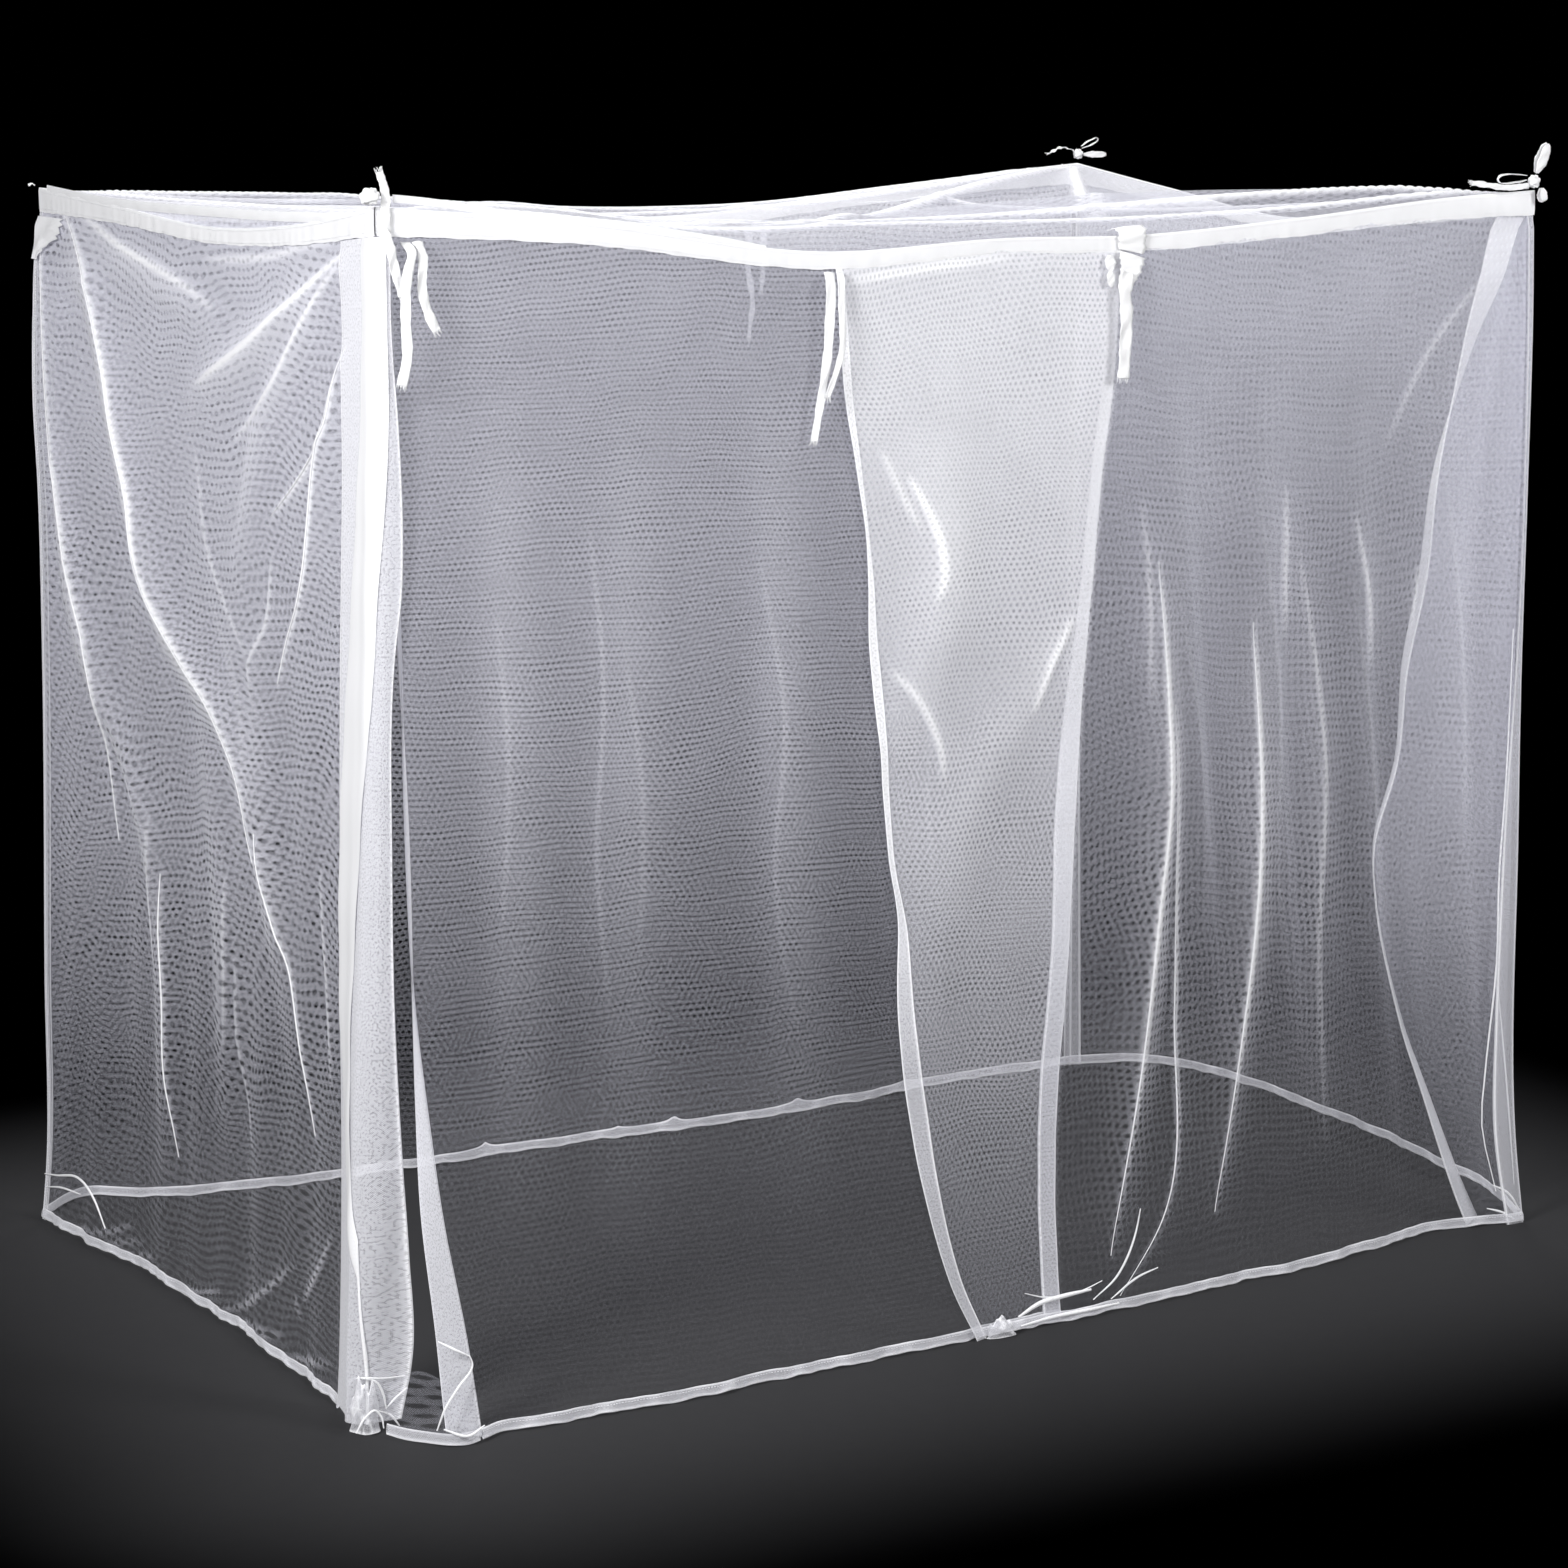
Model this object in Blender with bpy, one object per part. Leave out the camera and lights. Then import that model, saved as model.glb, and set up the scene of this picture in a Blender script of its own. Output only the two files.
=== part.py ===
"""Box mosquito net for one bed, hung by ribbons at its four top corners.

The roof and the five curtains are fine mesh. A white binding tape runs round the
top, double mesh hems edge every curtain, and the front closes with two curtains
that overlap. The origin is at floor level, in the middle of the net's outline.
X runs along the long sides, Y from the front to the back, and Z is up. The front
is at low Y, and left is at low X.
"""

import math

import bpy
import numpy as np
from mathutils import Matrix, Vector

# Size of the hanging net between its four top corners, in metres
LENGTH = 1.90
WIDTH = 1.20
HEIGHT = 1.60

# Thickness of one layer of mesh, of a hem of doubled mesh, of the tape and of a ribbon
MESH_THICK = 0.0012
HEM_THICK = 0.0020
TAPE_THICK = 0.0016
RIBBON_THICK = 0.0014

# Widths of the sewn edges
BOTTOM_HEM = 0.016
BACK_CORNER_HEM = 0.012
TURNED_HEM = 0.052
FLAP_HEM = 0.055
TAPE_HEIGHT = 0.036
TAPE_HEIGHT_MID = 0.022
RIBBON_WIDTH = 0.015

# Gap between two pieces that are sewn edge to edge
SEAM_GAP = 0.001
# Gap between the roof and the tape, and between a ribbon and what it hangs before
TAPE_GAP = 0.0015
RIBBON_GAP = 0.006
# The outer front curtain hangs this far before the inner one
DOOR_GAP = 0.009
# The side flap hangs this far behind the outer front curtain
FLAP_GAP = 0.016

# How a curtain sweeps outwards to its hem: higher keeps it upright for longer
SWEEP = 1.5
# How fast the sag of each side fades towards the middle of the roof
ROOF_FADE = 5.0
ROOF_DIP = 0.045

# Drop of each top corner, and how far the foot of that corner hangs from under it
CORNERS = {
    "front_left": (-1, -1, 0.000, (-0.061, 0.009)),
    "front_right": (1, -1, 0.010, (0.019, -0.028)),
    "back_left": (-1, 1, 0.008, (-0.063, -0.042)),
    "back_right": (1, 1, -0.004, (-0.020, -0.040)),
}

# Each side: its corners in the order of rising X or Y, and its outward direction.
# sag is how far the tape hangs below the line between its corners, spread how far
# the hem lies outside the line between its feet, and lift how high the hem is off
# the floor, each at a fraction along the side.
SIDES = {
    "front": {
        "ends": ("front_left", "front_right"),
        "out": (0, -1),
        "sag": ((0, 0), (0.15, 0.022), (0.35, 0.068), (0.50, 0.055), (0.62, 0.054), (0.77, 0.034), (0.92, 0.008), (1, 0)),
        "spread": ((0, 0), (0.02, 0.092), (0.033, 0.130), (0.08, 0.130), (0.22, 0.126), (0.42, 0.098), (0.63, 0.062), (0.79, 0.030), (0.85, 0.005), (0.93, -0.022), (1, 0)),
        "lift": ((0, 0), (1, 0)),
    },
    "back": {
        "ends": ("back_left", "back_right"),
        "out": (0, 1),
        "sag": ((0, 0), (0.08, 0.021), (0.16, 0.032), (0.28, 0.040), (0.50, 0.070), (0.60, 0.068), (0.77, 0.036), (0.92, 0.011), (1, 0)),
        "spread": ((0, 0), (0.033, 0.066), (0.055, 0.080), (0.09, 0.028), (0.15, -0.003), (0.25, -0.030), (0.40, -0.028), (0.56, -0.038), (0.66, -0.046), (0.80, -0.018), (0.88, 0.000), (1, 0)),
        "lift": ((0, 0), (1, 0)),
    },
    "left": {
        "ends": ("front_left", "back_left"),
        "out": (-1, 0),
        "sag": ((0, 0), (0.20, 0.028), (0.42, 0.040), (0.73, 0.020), (1, 0)),
        "spread": ((0, 0), (0.11, -0.021), (0.27, -0.034), (0.50, -0.036), (0.70, -0.031), (0.85, -0.013), (1, 0)),
        "lift": ((0, 0), (1, 0)),
    },
    "right": {
        "ends": ("front_right", "back_right"),
        "out": (1, 0),
        "sag": ((0, 0), (0.26, 0.042), (0.49, 0.066), (0.77, 0.032), (1, 0)),
        "spread": ((0, 0), (0.08, 0.032), (0.19, 0.060), (0.36, 0.086), (0.60, 0.115), (0.78, 0.124), (0.87, 0.112), (0.95, 0.060), (1, 0)),
        "lift": ((0, 0), (0.10, 0.010), (0.30, 0.018), (0.80, 0.018), (0.93, 0.012), (1, 0)),
    },
}

# How far the edge at a corner bends out along X, against the share of the way down
BENDS = {
    "back_left": ((0, 0), (0.04, -0.010), (0.09, -0.0145), (0.18, -0.017), (0.26, -0.011), (0.43, -0.005), (0.75, 0), (0.95, 0.005), (1, 0)),
    "front_right": ((0, 0), (0.08, 0.003), (0.26, -0.001), (0.45, -0.009), (0.60, -0.012), (0.92, -0.014), (1, 0)),
}
BEND_FADE = 8

# Where the free edges of the curtains hang: fractions along the side against the
# share of the way down, 0 under the tape and 1 at the foot
OUTER_DOOR_EDGE = ((0, 0.357), (0.11, 0.363), (0.19, 0.374), (0.24, 0.380), (0.35, 0.382), (0.45, 0.390), (0.54, 0.396), (0.60, 0.402), (0.65, 0.400), (0.78, 0.407), (0.88, 0.423), (0.94, 0.438), (1, 0.462))
OUTER_DOOR_HEM = ((0, 0.010), (0.07, 0.013), (0.20, 0.006), (0.24, 0.004), (0.30, 0.010), (0.35, 0.014), (0.48, 0.009), (0.58, 0.009), (0.65, 0.021), (0.75, 0.028), (0.90, 0.022), (1, 0.018))
INNER_DOOR_EDGE = ((0, 0.606), (0.12, 0.600), (0.20, 0.590), (0.30, 0.581), (0.39, 0.572), (0.51, 0.564), (0.67, 0.5535), (0.79, 0.542), (0.88, 0.5385), (1, 0.541))
INNER_DOOR_HEM = ((0, 0.016), (0.12, 0.019), (0.25, 0.019), (0.34, 0.022), (0.45, 0.033), (0.51, 0.036), (0.63, 0.031), (0.75, 0.031), (0.88, 0.028), (1, 0.028))
SLIT_EDGE = ((0, 0.012), (0.20, 0.013), (0.34, 0.0169), (0.46, 0.0184), (0.54, 0.0202), (0.63, 0.0234), (0.72, 0.0297), (0.82, 0.0382), (0.92, 0.0524), (1, 0.063))
# Turn of the inner curtain's corner hem out of the front, in degrees, 90 pointing inwards
SLIT_TURN = ((0, 88), (0.30, 108), (0.54, 119), (0.64, 112), (0.73, 97), (0.84, 77), (0.94, 60), (1, 50))
# The gusset starts at this fraction of the front, and stops this far short of the slit's edge
GUSSET_START = 0.012
SLIT_GAP = 0.005
GUSSET_TOP = ((0.012, 0.955), (0.022, 0.940), (0.036, 0.945), (0.052, 0.962))
FLAP_EDGE = ((0, 0.965), (0.04, 0.9555), (0.09, 0.943), (0.16, 0.930), (0.24, 0.916), (0.35, 0.906), (0.43, 0.889), (0.52, 0.880), (0.60, 0.855), (0.66, 0.858), (0.78, 0.891), (0.85, 0.915), (1, 0.955))
FLAP_TURN = ((0, 2), (0.06, 12), (0.12, 38), (0.18, 60), (0.60, 62), (0.80, 50), (1, 25))
OUTER_CORNER_HEM = ((0, 0.010), (0.45, 0.012), (0.60, 0.028), (0.80, 0.036), (0.90, 0.040), (1, 0.030))
# Corner strip of the left curtain: metres along the left side and round onto the front
STRIP_BACK = ((0, 0.106), (0.15, 0.104), (0.38, 0.110), (0.60, 0.105), (0.80, 0.093), (1, 0.078))
STRIP_LEG = ((0, 0.008), (0.08, 0.010), (0.155, 0.020), (0.25, 0.0275), (0.29, 0.027), (0.34, 0.019), (0.52, 0.021), (0.63, 0.029), (0.77, 0.0485), (0.85, 0.0625), (0.94, 0.074), (1, 0.060))
STRIP_STAND = 0.022

# Main folds of each side: a path of (metres along the side, height), with the
# fold's half width and how far it stands out
FOLDS = {
    "front": (
        (((1.207, 1.08), (1.214, 0.87), (1.190, 0.58), (1.158, 0.36), (1.110, 0.08)), 0.034, 0.020),
        (((1.378, 0.98), (1.377, 0.64), (1.339, 0.34), (1.298, 0.12)), 0.036, 0.018),
        (((1.457, 1.09), (1.503, 0.78), (1.492, 0.48), (1.510, 0.20)), 0.038, 0.014),
        (((0.180, 1.30), (0.185, 0.80), (0.185, 0.30)), 0.055, 0.012),
        (((0.320, 1.20), (0.330, 0.70), (0.335, 0.25)), 0.050, 0.010),
        (((0.590, 1.25), (0.600, 0.75), (0.605, 0.25)), 0.055, 0.012),
        (((0.840, 1.30), (0.855, 1.04), (0.750, 0.85)), 0.045, 0.010),
        (((1.040, 0.95), (0.880, 0.76), (0.830, 0.55)), 0.045, 0.010),
    ),
    "left": (
        (((1.102, 1.54), (0.969, 1.43), (0.901, 1.29), (0.711, 0.99), (0.482, 0.86), (0.306, 0.61)), 0.036, 0.020),
        (((1.130, 1.40), (1.120, 1.24), (1.060, 0.98), (0.779, 0.66), (0.733, 0.20)), 0.034, 0.018),
        (((0.994, 1.53), (0.745, 1.48), (0.530, 1.43)), 0.032, 0.012),
        (((0.160, 1.52), (0.342, 1.42), (0.589, 1.33)), 0.036, 0.016),
        (((0.170, 1.45), (0.348, 1.30), (0.450, 1.10)), 0.034, 0.014),
        (((0.572, 0.85), (0.533, 0.61), (0.532, 0.32)), 0.036, 0.012),
        (((0.408, 0.94), (0.352, 0.72), (0.278, 0.45)), 0.036, 0.012),
    ),
    "back": (
        (((0.300, 1.25), (0.320, 0.70), (0.310, 0.06)), 0.050, 0.016),
        (((0.540, 1.20), (0.550, 0.65), (0.560, 0.06)), 0.045, 0.014),
        (((0.780, 1.22), (0.780, 0.60), (0.790, 0.06)), 0.045, 0.016),
        (((1.020, 1.20), (1.026, 0.56), (1.037, 0.06)), 0.050, 0.018),
        (((1.290, 1.22), (1.299, 0.53), (1.315, 0.06)), 0.045, 0.016),
        (((1.560, 1.20), (1.550, 0.60), (1.560, 0.06)), 0.050, 0.014),
    ),
    "right": (
        (((0.200, 1.30), (0.190, 0.70), (0.170, 0.06)), 0.042, 0.014),
        (((0.430, 1.22), (0.440, 0.65), (0.430, 0.06)), 0.046, 0.016),
        (((0.680, 1.22), (0.690, 0.60), (0.700, 0.06)), 0.046, 0.014),
        (((0.920, 1.24), (0.930, 0.60), (0.950, 0.06)), 0.042, 0.012),
    ),
}
# A fold dies away over this distance from a side's corner or its tape
FOLD_FADE = 0.09
# Tension folds of the roof: from a corner to a plan point in shares of the half sizes,
# with the fold's half width and rise
ROOF_FOLDS = (
    ("front_left", (-0.30, -0.30), 0.060, 0.017),
    ("front_right", (0.0, 0.0), 0.070, 0.032),
    ("back_left", (-0.20, 0.10), 0.050, 0.012),
    ("back_right", (0.15, 0.05), 0.050, 0.014),
)

# Steps of the grids: along a curtain and down it
ROWS = 13
STEP_ALONG = 0.056
ROOF_STEPS = (22, 14)

WHITES = {
    "mesh": ((0.80, 0.80, 0.84, 1), 0.85),
    "hem": ((0.86, 0.86, 0.89, 1), 0.80),
    "tape": ((0.93, 0.93, 0.94, 1), 0.70),
    "ribbon": ((0.95, 0.95, 0.95, 1), 0.60),
}


def value_at(points, t):
    """Smooth curve through (place, value) pairs, read at t."""
    xs = np.array([p[0] for p in points], float)
    ys = np.array([p[1] for p in points], float)
    slope = np.gradient(ys, xs) if len(xs) > 2 else np.full(2, (ys[1] - ys[0]) / (xs[1] - xs[0]))
    t = np.clip(np.asarray(t, float), xs[0], xs[-1])
    i = np.clip(np.searchsorted(xs, t, side="right") - 1, 0, len(xs) - 2)
    span = xs[i + 1] - xs[i]
    u = (t - xs[i]) / span
    rise = ys[i] * (1 + 2 * u) * (1 - u) ** 2 + ys[i + 1] * u * u * (3 - 2 * u)
    return rise + span * (slope[i] * u * (1 - u) ** 2 - slope[i + 1] * u * u * (1 - u))


def corner_top(name):
    ix, iy, drop, _ = CORNERS[name]
    return np.array([ix * LENGTH / 2, iy * WIDTH / 2, HEIGHT - drop])


def corner_foot(name):
    ix, iy, _, (dx, dy) = CORNERS[name]
    return np.array([ix * LENGTH / 2 + dx, iy * WIDTH / 2 + dy, 0.0])


def side_length(side):
    return LENGTH if side in ("front", "back") else WIDTH


def bend_at(name, v):
    """How far the edge at a corner bends out along X."""
    return value_at(BENDS[name], v) if name in BENDS else np.zeros(np.shape(v))


def between(a, b, t):
    return a + (b - a) * np.asarray(t, float)[..., None]


def tape_line(side, t):
    """Top edge of the tape: the line between two corners, less its sag."""
    ends = [corner_top(name) for name in SIDES[side]["ends"]]
    line = between(ends[0], ends[1], t)
    line[..., 2] -= value_at(SIDES[side]["sag"], t)
    return line


def tape_height(t):
    """The tape stands upright at its corners and tilts over in the middle of a side."""
    return TAPE_HEIGHT_MID + (TAPE_HEIGHT - TAPE_HEIGHT_MID) * np.abs(2 * np.asarray(t, float) - 1) ** 2


def foot_line(side, t):
    """Lower edge of the hem, which lies partly outside the line between its feet."""
    spec = SIDES[side]
    ends = [corner_foot(name) for name in spec["ends"]]
    line = between(ends[0], ends[1], t)
    line[..., :2] += np.array(spec["out"]) * value_at(spec["spread"], t)[..., None]
    line[..., 2] += value_at(spec["lift"], t)
    return line


def outline_centre():
    """Middle of the box round all four hems, so that the origin is under it."""
    t = np.linspace(0, 1, 201)
    feet = np.concatenate([foot_line(side, t)[:, :2] for side in SIDES])
    return (feet.min(axis=0) + feet.max(axis=0)) / 2


CENTRE = np.array([*outline_centre(), 0.0])


def path_distance(a, z, path):
    """Distance from a point to a path, and how far along the path it is nearest."""
    pts = np.array(path, float)
    lengths = np.linalg.norm(np.diff(pts, axis=0), axis=1)
    best = np.full(np.shape(a), np.inf)
    place = np.zeros(np.shape(a))
    done = 0.0
    for start, end, length in zip(pts[:-1], pts[1:], lengths):
        run = (end - start) / length
        s = np.clip((a - start[0]) * run[0] + (z - start[1]) * run[1], 0, length)
        gap = np.hypot(a - start[0] - s * run[0], z - start[1] - s * run[1])
        nearer = gap < best
        best = np.where(nearer, gap, best)
        place = np.where(nearer, (done + s) / lengths.sum(), place)
        done += length
    return best, place


def fold_height(side, t, z):
    """How far the main folds push the cloth outwards at a place on a side."""
    a = t * side_length(side)
    out = np.zeros(np.shape(a))
    for path, half_width, depth in FOLDS[side]:
        gap, place = path_distance(a, z, path)
        out += depth * np.exp(-((gap / half_width) ** 2)) * np.sin(math.pi * np.clip(place, 0.04, 0.96)) ** 0.5
    edge = np.minimum(a, side_length(side) - a)
    return out * np.clip(edge / FOLD_FADE, 0, 1) ** 2


def wall_point(side, t, v, stand=0.0):
    """Point of a side, t along it and v down it, moved outwards by stand."""
    t, v = np.broadcast_arrays(np.asarray(t, float), np.asarray(v, float))
    top = tape_line(side, t)
    top[..., 2] -= tape_height(t) + SEAM_GAP
    foot = foot_line(side, t)
    out = np.array([*SIDES[side]["out"], 0.0])
    point = top + (foot - top) * (v**SWEEP)[..., None]
    point[..., 2] = top[..., 2] + (foot[..., 2] - top[..., 2]) * v
    below = np.clip((top[..., 2] - point[..., 2]) / FOLD_FADE, 0, 1) ** 2
    point += out * (fold_height(side, t, point[..., 2]) * below + stand)[..., None]
    for name, share in zip(SIDES[side]["ends"], (1 - t, t)):
        point[..., 0] += bend_at(name, v) * np.clip(share, 0, 1) ** BEND_FADE
    return point - CENTRE


def roof_point(x, y):
    """Roof at plan point x, y: four sagging edges that fade towards the middle."""
    tx, ty = x / LENGTH + 0.5, y / WIDTH + 0.5
    z = np.zeros(np.shape(x))
    for name, (ix, iy, drop, _) in CORNERS.items():
        z += (HEIGHT - drop) * (tx if ix > 0 else 1 - tx) * (ty if iy > 0 else 1 - ty)
    for side, t, off in (("front", tx, ty), ("back", tx, 1 - ty), ("left", ty, tx), ("right", ty, 1 - tx)):
        z -= value_at(SIDES[side]["sag"], t) * (1 - off) ** ROOF_FADE
    z -= ROOF_DIP * (np.sin(math.pi * tx) * np.sin(math.pi * ty)) ** 1.3
    for name, (sx, sy), half_width, rise in ROOF_FOLDS:
        start = corner_top(name)[:2]
        end = np.array([sx * LENGTH / 2, sy * WIDTH / 2])
        gap, place = path_distance(x, y, (start, end))
        near = np.clip(np.minimum(np.minimum(tx, 1 - tx) * LENGTH, np.minimum(ty, 1 - ty) * WIDTH) / FOLD_FADE, 0, 1)
        z += rise * np.exp(-((gap / half_width) ** 2)) * np.sin(math.pi * np.clip(place, 0, 1)) * near
    return np.stack([x, y, z], axis=-1) - CENTRE


def remove_startup_objects():
    for obj in list(bpy.data.objects):
        bpy.data.objects.remove(obj, do_unlink=True)


def make_material(name):
    colour, roughness = WHITES[name]
    material = bpy.data.materials.new(name)
    material.use_nodes = True
    shader = material.node_tree.nodes["Principled BSDF"]
    shader.inputs["Base Color"].default_value = colour
    shader.inputs["Roughness"].default_value = roughness
    shader.inputs["Metallic"].default_value = 0.0
    material.diffuse_color = colour
    return material


MATERIALS = {}


def finish_of(name):
    """Each sub-part has a material of its own, in the finish of its kind of cloth."""
    if name not in MATERIALS:
        MATERIALS[name] = make_material(name)
    return MATERIALS[name]


def add_sheet(name, points, thickness, finish):
    """A closed sheet: a grid of points, given its thickness both ways by Solidify."""
    rows, columns = points.shape[:2]
    mesh = bpy.data.meshes.new(name)
    faces = []
    for r in range(rows - 1):
        for c in range(columns - 1):
            first = r * columns + c
            faces.append((first, first + 1, first + columns + 1, first + columns))
    mesh.from_pydata([tuple(p) for p in points.reshape(-1, 3)], [], faces)
    mesh.validate()
    obj = bpy.data.objects.new(name, mesh)
    bpy.context.scene.collection.objects.link(obj)
    solid = obj.modifiers.new("thickness", "SOLIDIFY")
    solid.thickness = thickness
    solid.offset = 0.0
    mesh.shade_smooth()
    own = finish_of(finish).copy()
    own.name = name
    mesh.materials.append(own)
    return obj


def set_origin(obj, place):
    """Put an object's origin on its hinge without moving its mesh."""
    place = Vector(place)
    for vertex in obj.data.vertices:
        vertex.co -= place
    obj.location = place


def edge(points):
    """A curtain's edge as a function of the share of the way down."""
    return lambda v: value_at(points, v)


def shifted(line, metres, side):
    """A curtain's edge moved along the side, by a length or by a (share down, length) table."""
    reach = (lambda v: value_at(metres, v)) if isinstance(metres, tuple) else (lambda v: metres)
    return lambda v: line(v) + reach(v) / side_length(side)


def negative(table):
    return tuple((v, -width) for v, width in table)


def curtain_rows(upper, lower, count=ROWS):
    return np.linspace(upper, lower, count + 1)


def curtain_grid(side, low, high, rows, stand, columns):
    v = rows[:, None]
    share = np.linspace(0, 1, columns + 1)[None, :]
    t = low(v) + (high(v) - low(v)) * share
    return wall_point(side, t, v, stand)


def add_curtain(prefix, side, low, high, low_hem, high_hem, stand=0.0):
    """Mesh panel, bottom hem and the hems of its two upright edges, cut from one surface.

    low_hem and high_hem are (name, width table), or None where the mesh has no hem.
    """
    foot_v = 1 - BOTTOM_HEM / HEIGHT
    rows = curtain_rows(0.0, foot_v - SEAM_GAP / HEIGHT)
    inner_low, inner_high = low, high
    if low_hem:
        seam = shifted(low, low_hem[1], side)
        inner_low = shifted(seam, SEAM_GAP, side)
        add_sheet(low_hem[0], curtain_grid(side, low, seam, rows, stand, 1), HEM_THICK, "hem")
    if high_hem:
        seam = shifted(high, negative(high_hem[1]), side)
        inner_high = shifted(seam, -SEAM_GAP, side)
        add_sheet(high_hem[0], curtain_grid(side, seam, high, rows, stand, 1), HEM_THICK, "hem")
    middle = np.mean(inner_high(rows) - inner_low(rows)) * side_length(side)
    columns = max(4, round(middle / STEP_ALONG))
    add_sheet(prefix, curtain_grid(side, inner_low, inner_high, rows, stand, columns), MESH_THICK, "mesh")
    hem_rows = np.array([foot_v, 1.0])[:, None]
    inside = np.linspace(0, 1, columns + 1)[None, :]
    t = inner_low(hem_rows) + (inner_high(hem_rows) - inner_low(hem_rows)) * inside
    ends = [low(hem_rows)] * bool(low_hem) + [t] + [high(hem_rows)] * bool(high_hem)
    grid = wall_point(side, np.concatenate(ends, axis=1), hem_rows, stand)
    add_sheet(prefix + "_bottom_hem", grid, HEM_THICK, "hem")


def turned_rail(rail, rows, width, turn, way):
    """A hem's other rail: it leaves the front at an angle, 90 degrees being straight inwards."""
    angle = np.radians(value_at(turn, rows))
    other = rail.copy()
    other[:, 0] += way * width * np.cos(angle)
    other[:, 1] += width * np.sin(angle)
    return other


def add_left_curtain():
    """The left curtain hems at the back, and at the front turns the corner as a double strip."""
    low = lambda v: value_at(STRIP_BACK, v) / WIDTH
    high = lambda v: np.full(np.shape(v), 1 - TAPE_GAP * 2 / WIDTH)
    hem = ("left_wall_back_hem", ((0, BACK_CORNER_HEM), (1, BACK_CORNER_HEM)))
    add_curtain("left_wall", "left", shifted(low, SEAM_GAP * 2, "left"), high, None, hem)
    v = curtain_rows(0.006, 1.0)
    back = value_at(STRIP_BACK, v) / WIDTH
    leg = value_at(STRIP_LEG, v)
    corner = wall_point("left", np.zeros(len(v)), v)
    rails = [wall_point("left", back * share, v, 0.004 * (1 - share)) for share in (1.0, 0.66, 0.33)]
    rails.append(corner + np.array([-0.004, -0.008, 0]))
    for share, out in ((0.12, 0.8), (0.5, 0.96), (1.0, 1.0)):
        rail = corner + np.array([0, -STRIP_STAND * out, 0])
        rail[:, 0] += leg * share
        rails.append(rail)
    add_sheet("near_corner_strip", np.stack(rails, axis=1), HEM_THICK, "hem")
    v = np.array([0.005, 0.020, 0.042])
    widths = np.array([0.056, 0.050, 0.014])
    share = np.linspace(0, 1, 3)[None, :]
    t = 1 - (0.004 + widths[:, None] * share) / WIDTH
    add_sheet("back_corner_patch", wall_point("left", t, v[:, None], 0.006), HEM_THICK, "hem")


def add_corner_gusset():
    """Low piece of mesh with its own hem, which joins the left curtain's strip across the slit."""
    stand = -DOOR_GAP / 2
    foot_v = 1 - BOTTOM_HEM / HEIGHT
    t = np.linspace(GUSSET_START, value_at(SLIT_EDGE, 0.965) - SLIT_GAP / LENGTH, 6)[None, :]
    top = value_at(GUSSET_TOP, t)
    v = top + (foot_v - SEAM_GAP / HEIGHT - top) * np.linspace(0, 1, 3)[:, None]
    add_sheet("near_corner_gusset", wall_point("front", np.broadcast_to(t, v.shape), v, stand), MESH_THICK, "mesh")
    t = np.linspace(GUSSET_START, value_at(SLIT_EDGE, 1.0) - SLIT_GAP / LENGTH, 6)[None, :]
    grid = wall_point("front", t, np.array([foot_v, 1.0])[:, None], stand)
    add_sheet("near_corner_gusset_hem", grid, HEM_THICK, "hem")


def add_back_curtain():
    low = lambda v: np.full(np.shape(v), TAPE_GAP * 2 / LENGTH)
    high = lambda v: np.full(np.shape(v), 1 - TAPE_GAP * 2 / LENGTH)
    width = ((0, BACK_CORNER_HEM), (1, BACK_CORNER_HEM))
    add_curtain("back_wall", "back", low, high, ("back_wall_left_hem", width), ("back_wall_right_hem", width))


def add_right_curtain():
    """The right curtain turns the front corner as a flap behind the outer front curtain."""
    low = lambda v: np.full(np.shape(v), TAPE_GAP * 2 / WIDTH)
    high = lambda v: np.full(np.shape(v), 1 - TAPE_GAP * 2 / WIDTH)
    hem = ("right_wall_back_hem", ((0, BACK_CORNER_HEM), (1, BACK_CORNER_HEM)))
    add_curtain("right_wall", "right", low, high, None, hem)
    rows = curtain_rows(0.02, 1.0)
    stand = DOOR_GAP / 2 - FLAP_GAP
    free = wall_point("front", value_at(FLAP_EDGE, rows), rows, stand)
    seam = turned_rail(free, rows, FLAP_HEM, FLAP_TURN, 1)
    add_sheet("right_flap_hem", np.stack([free, seam], axis=1), HEM_THICK, "hem")
    near = wall_point("front", np.full(len(rows), 1 - TAPE_GAP * 2 / LENGTH), rows, stand)
    start = seam + (near - seam) * (SEAM_GAP * 2 / np.linalg.norm(near - seam, axis=1))[:, None]
    share = np.linspace(0, 1, 5)[None, :, None]
    add_sheet("right_flap", start[:, None] + (near - start)[:, None] * share, MESH_THICK, "mesh")


def add_front_curtains():
    """The inner curtain hangs at the left, and the outer one covers its free edge."""
    inner = -DOOR_GAP / 2
    slit = edge(SLIT_EDGE)
    add_curtain("inner_door", "front", slit, edge(INNER_DOOR_EDGE), None, ("inner_door_edge_hem", INNER_DOOR_HEM), inner)
    rows = curtain_rows(0.0, 1 - (BOTTOM_HEM + SEAM_GAP) / HEIGHT)
    seam = wall_point("front", slit(rows) - SEAM_GAP / LENGTH, rows, inner)
    free = turned_rail(seam, rows, TURNED_HEM, SLIT_TURN, -1)
    seam = seam + (free - seam) * SEAM_GAP / TURNED_HEM
    add_sheet("inner_door_corner_hem", np.stack([free, seam], axis=1), HEM_THICK, "hem")
    high = lambda v: np.full(np.shape(v), 1 - TAPE_GAP * 2 / LENGTH)
    add_curtain("outer_door", "front", edge(OUTER_DOOR_EDGE), high, ("outer_door_edge_hem", OUTER_DOOR_HEM), ("outer_door_corner_hem", OUTER_CORNER_HEM), -inner)


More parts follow.
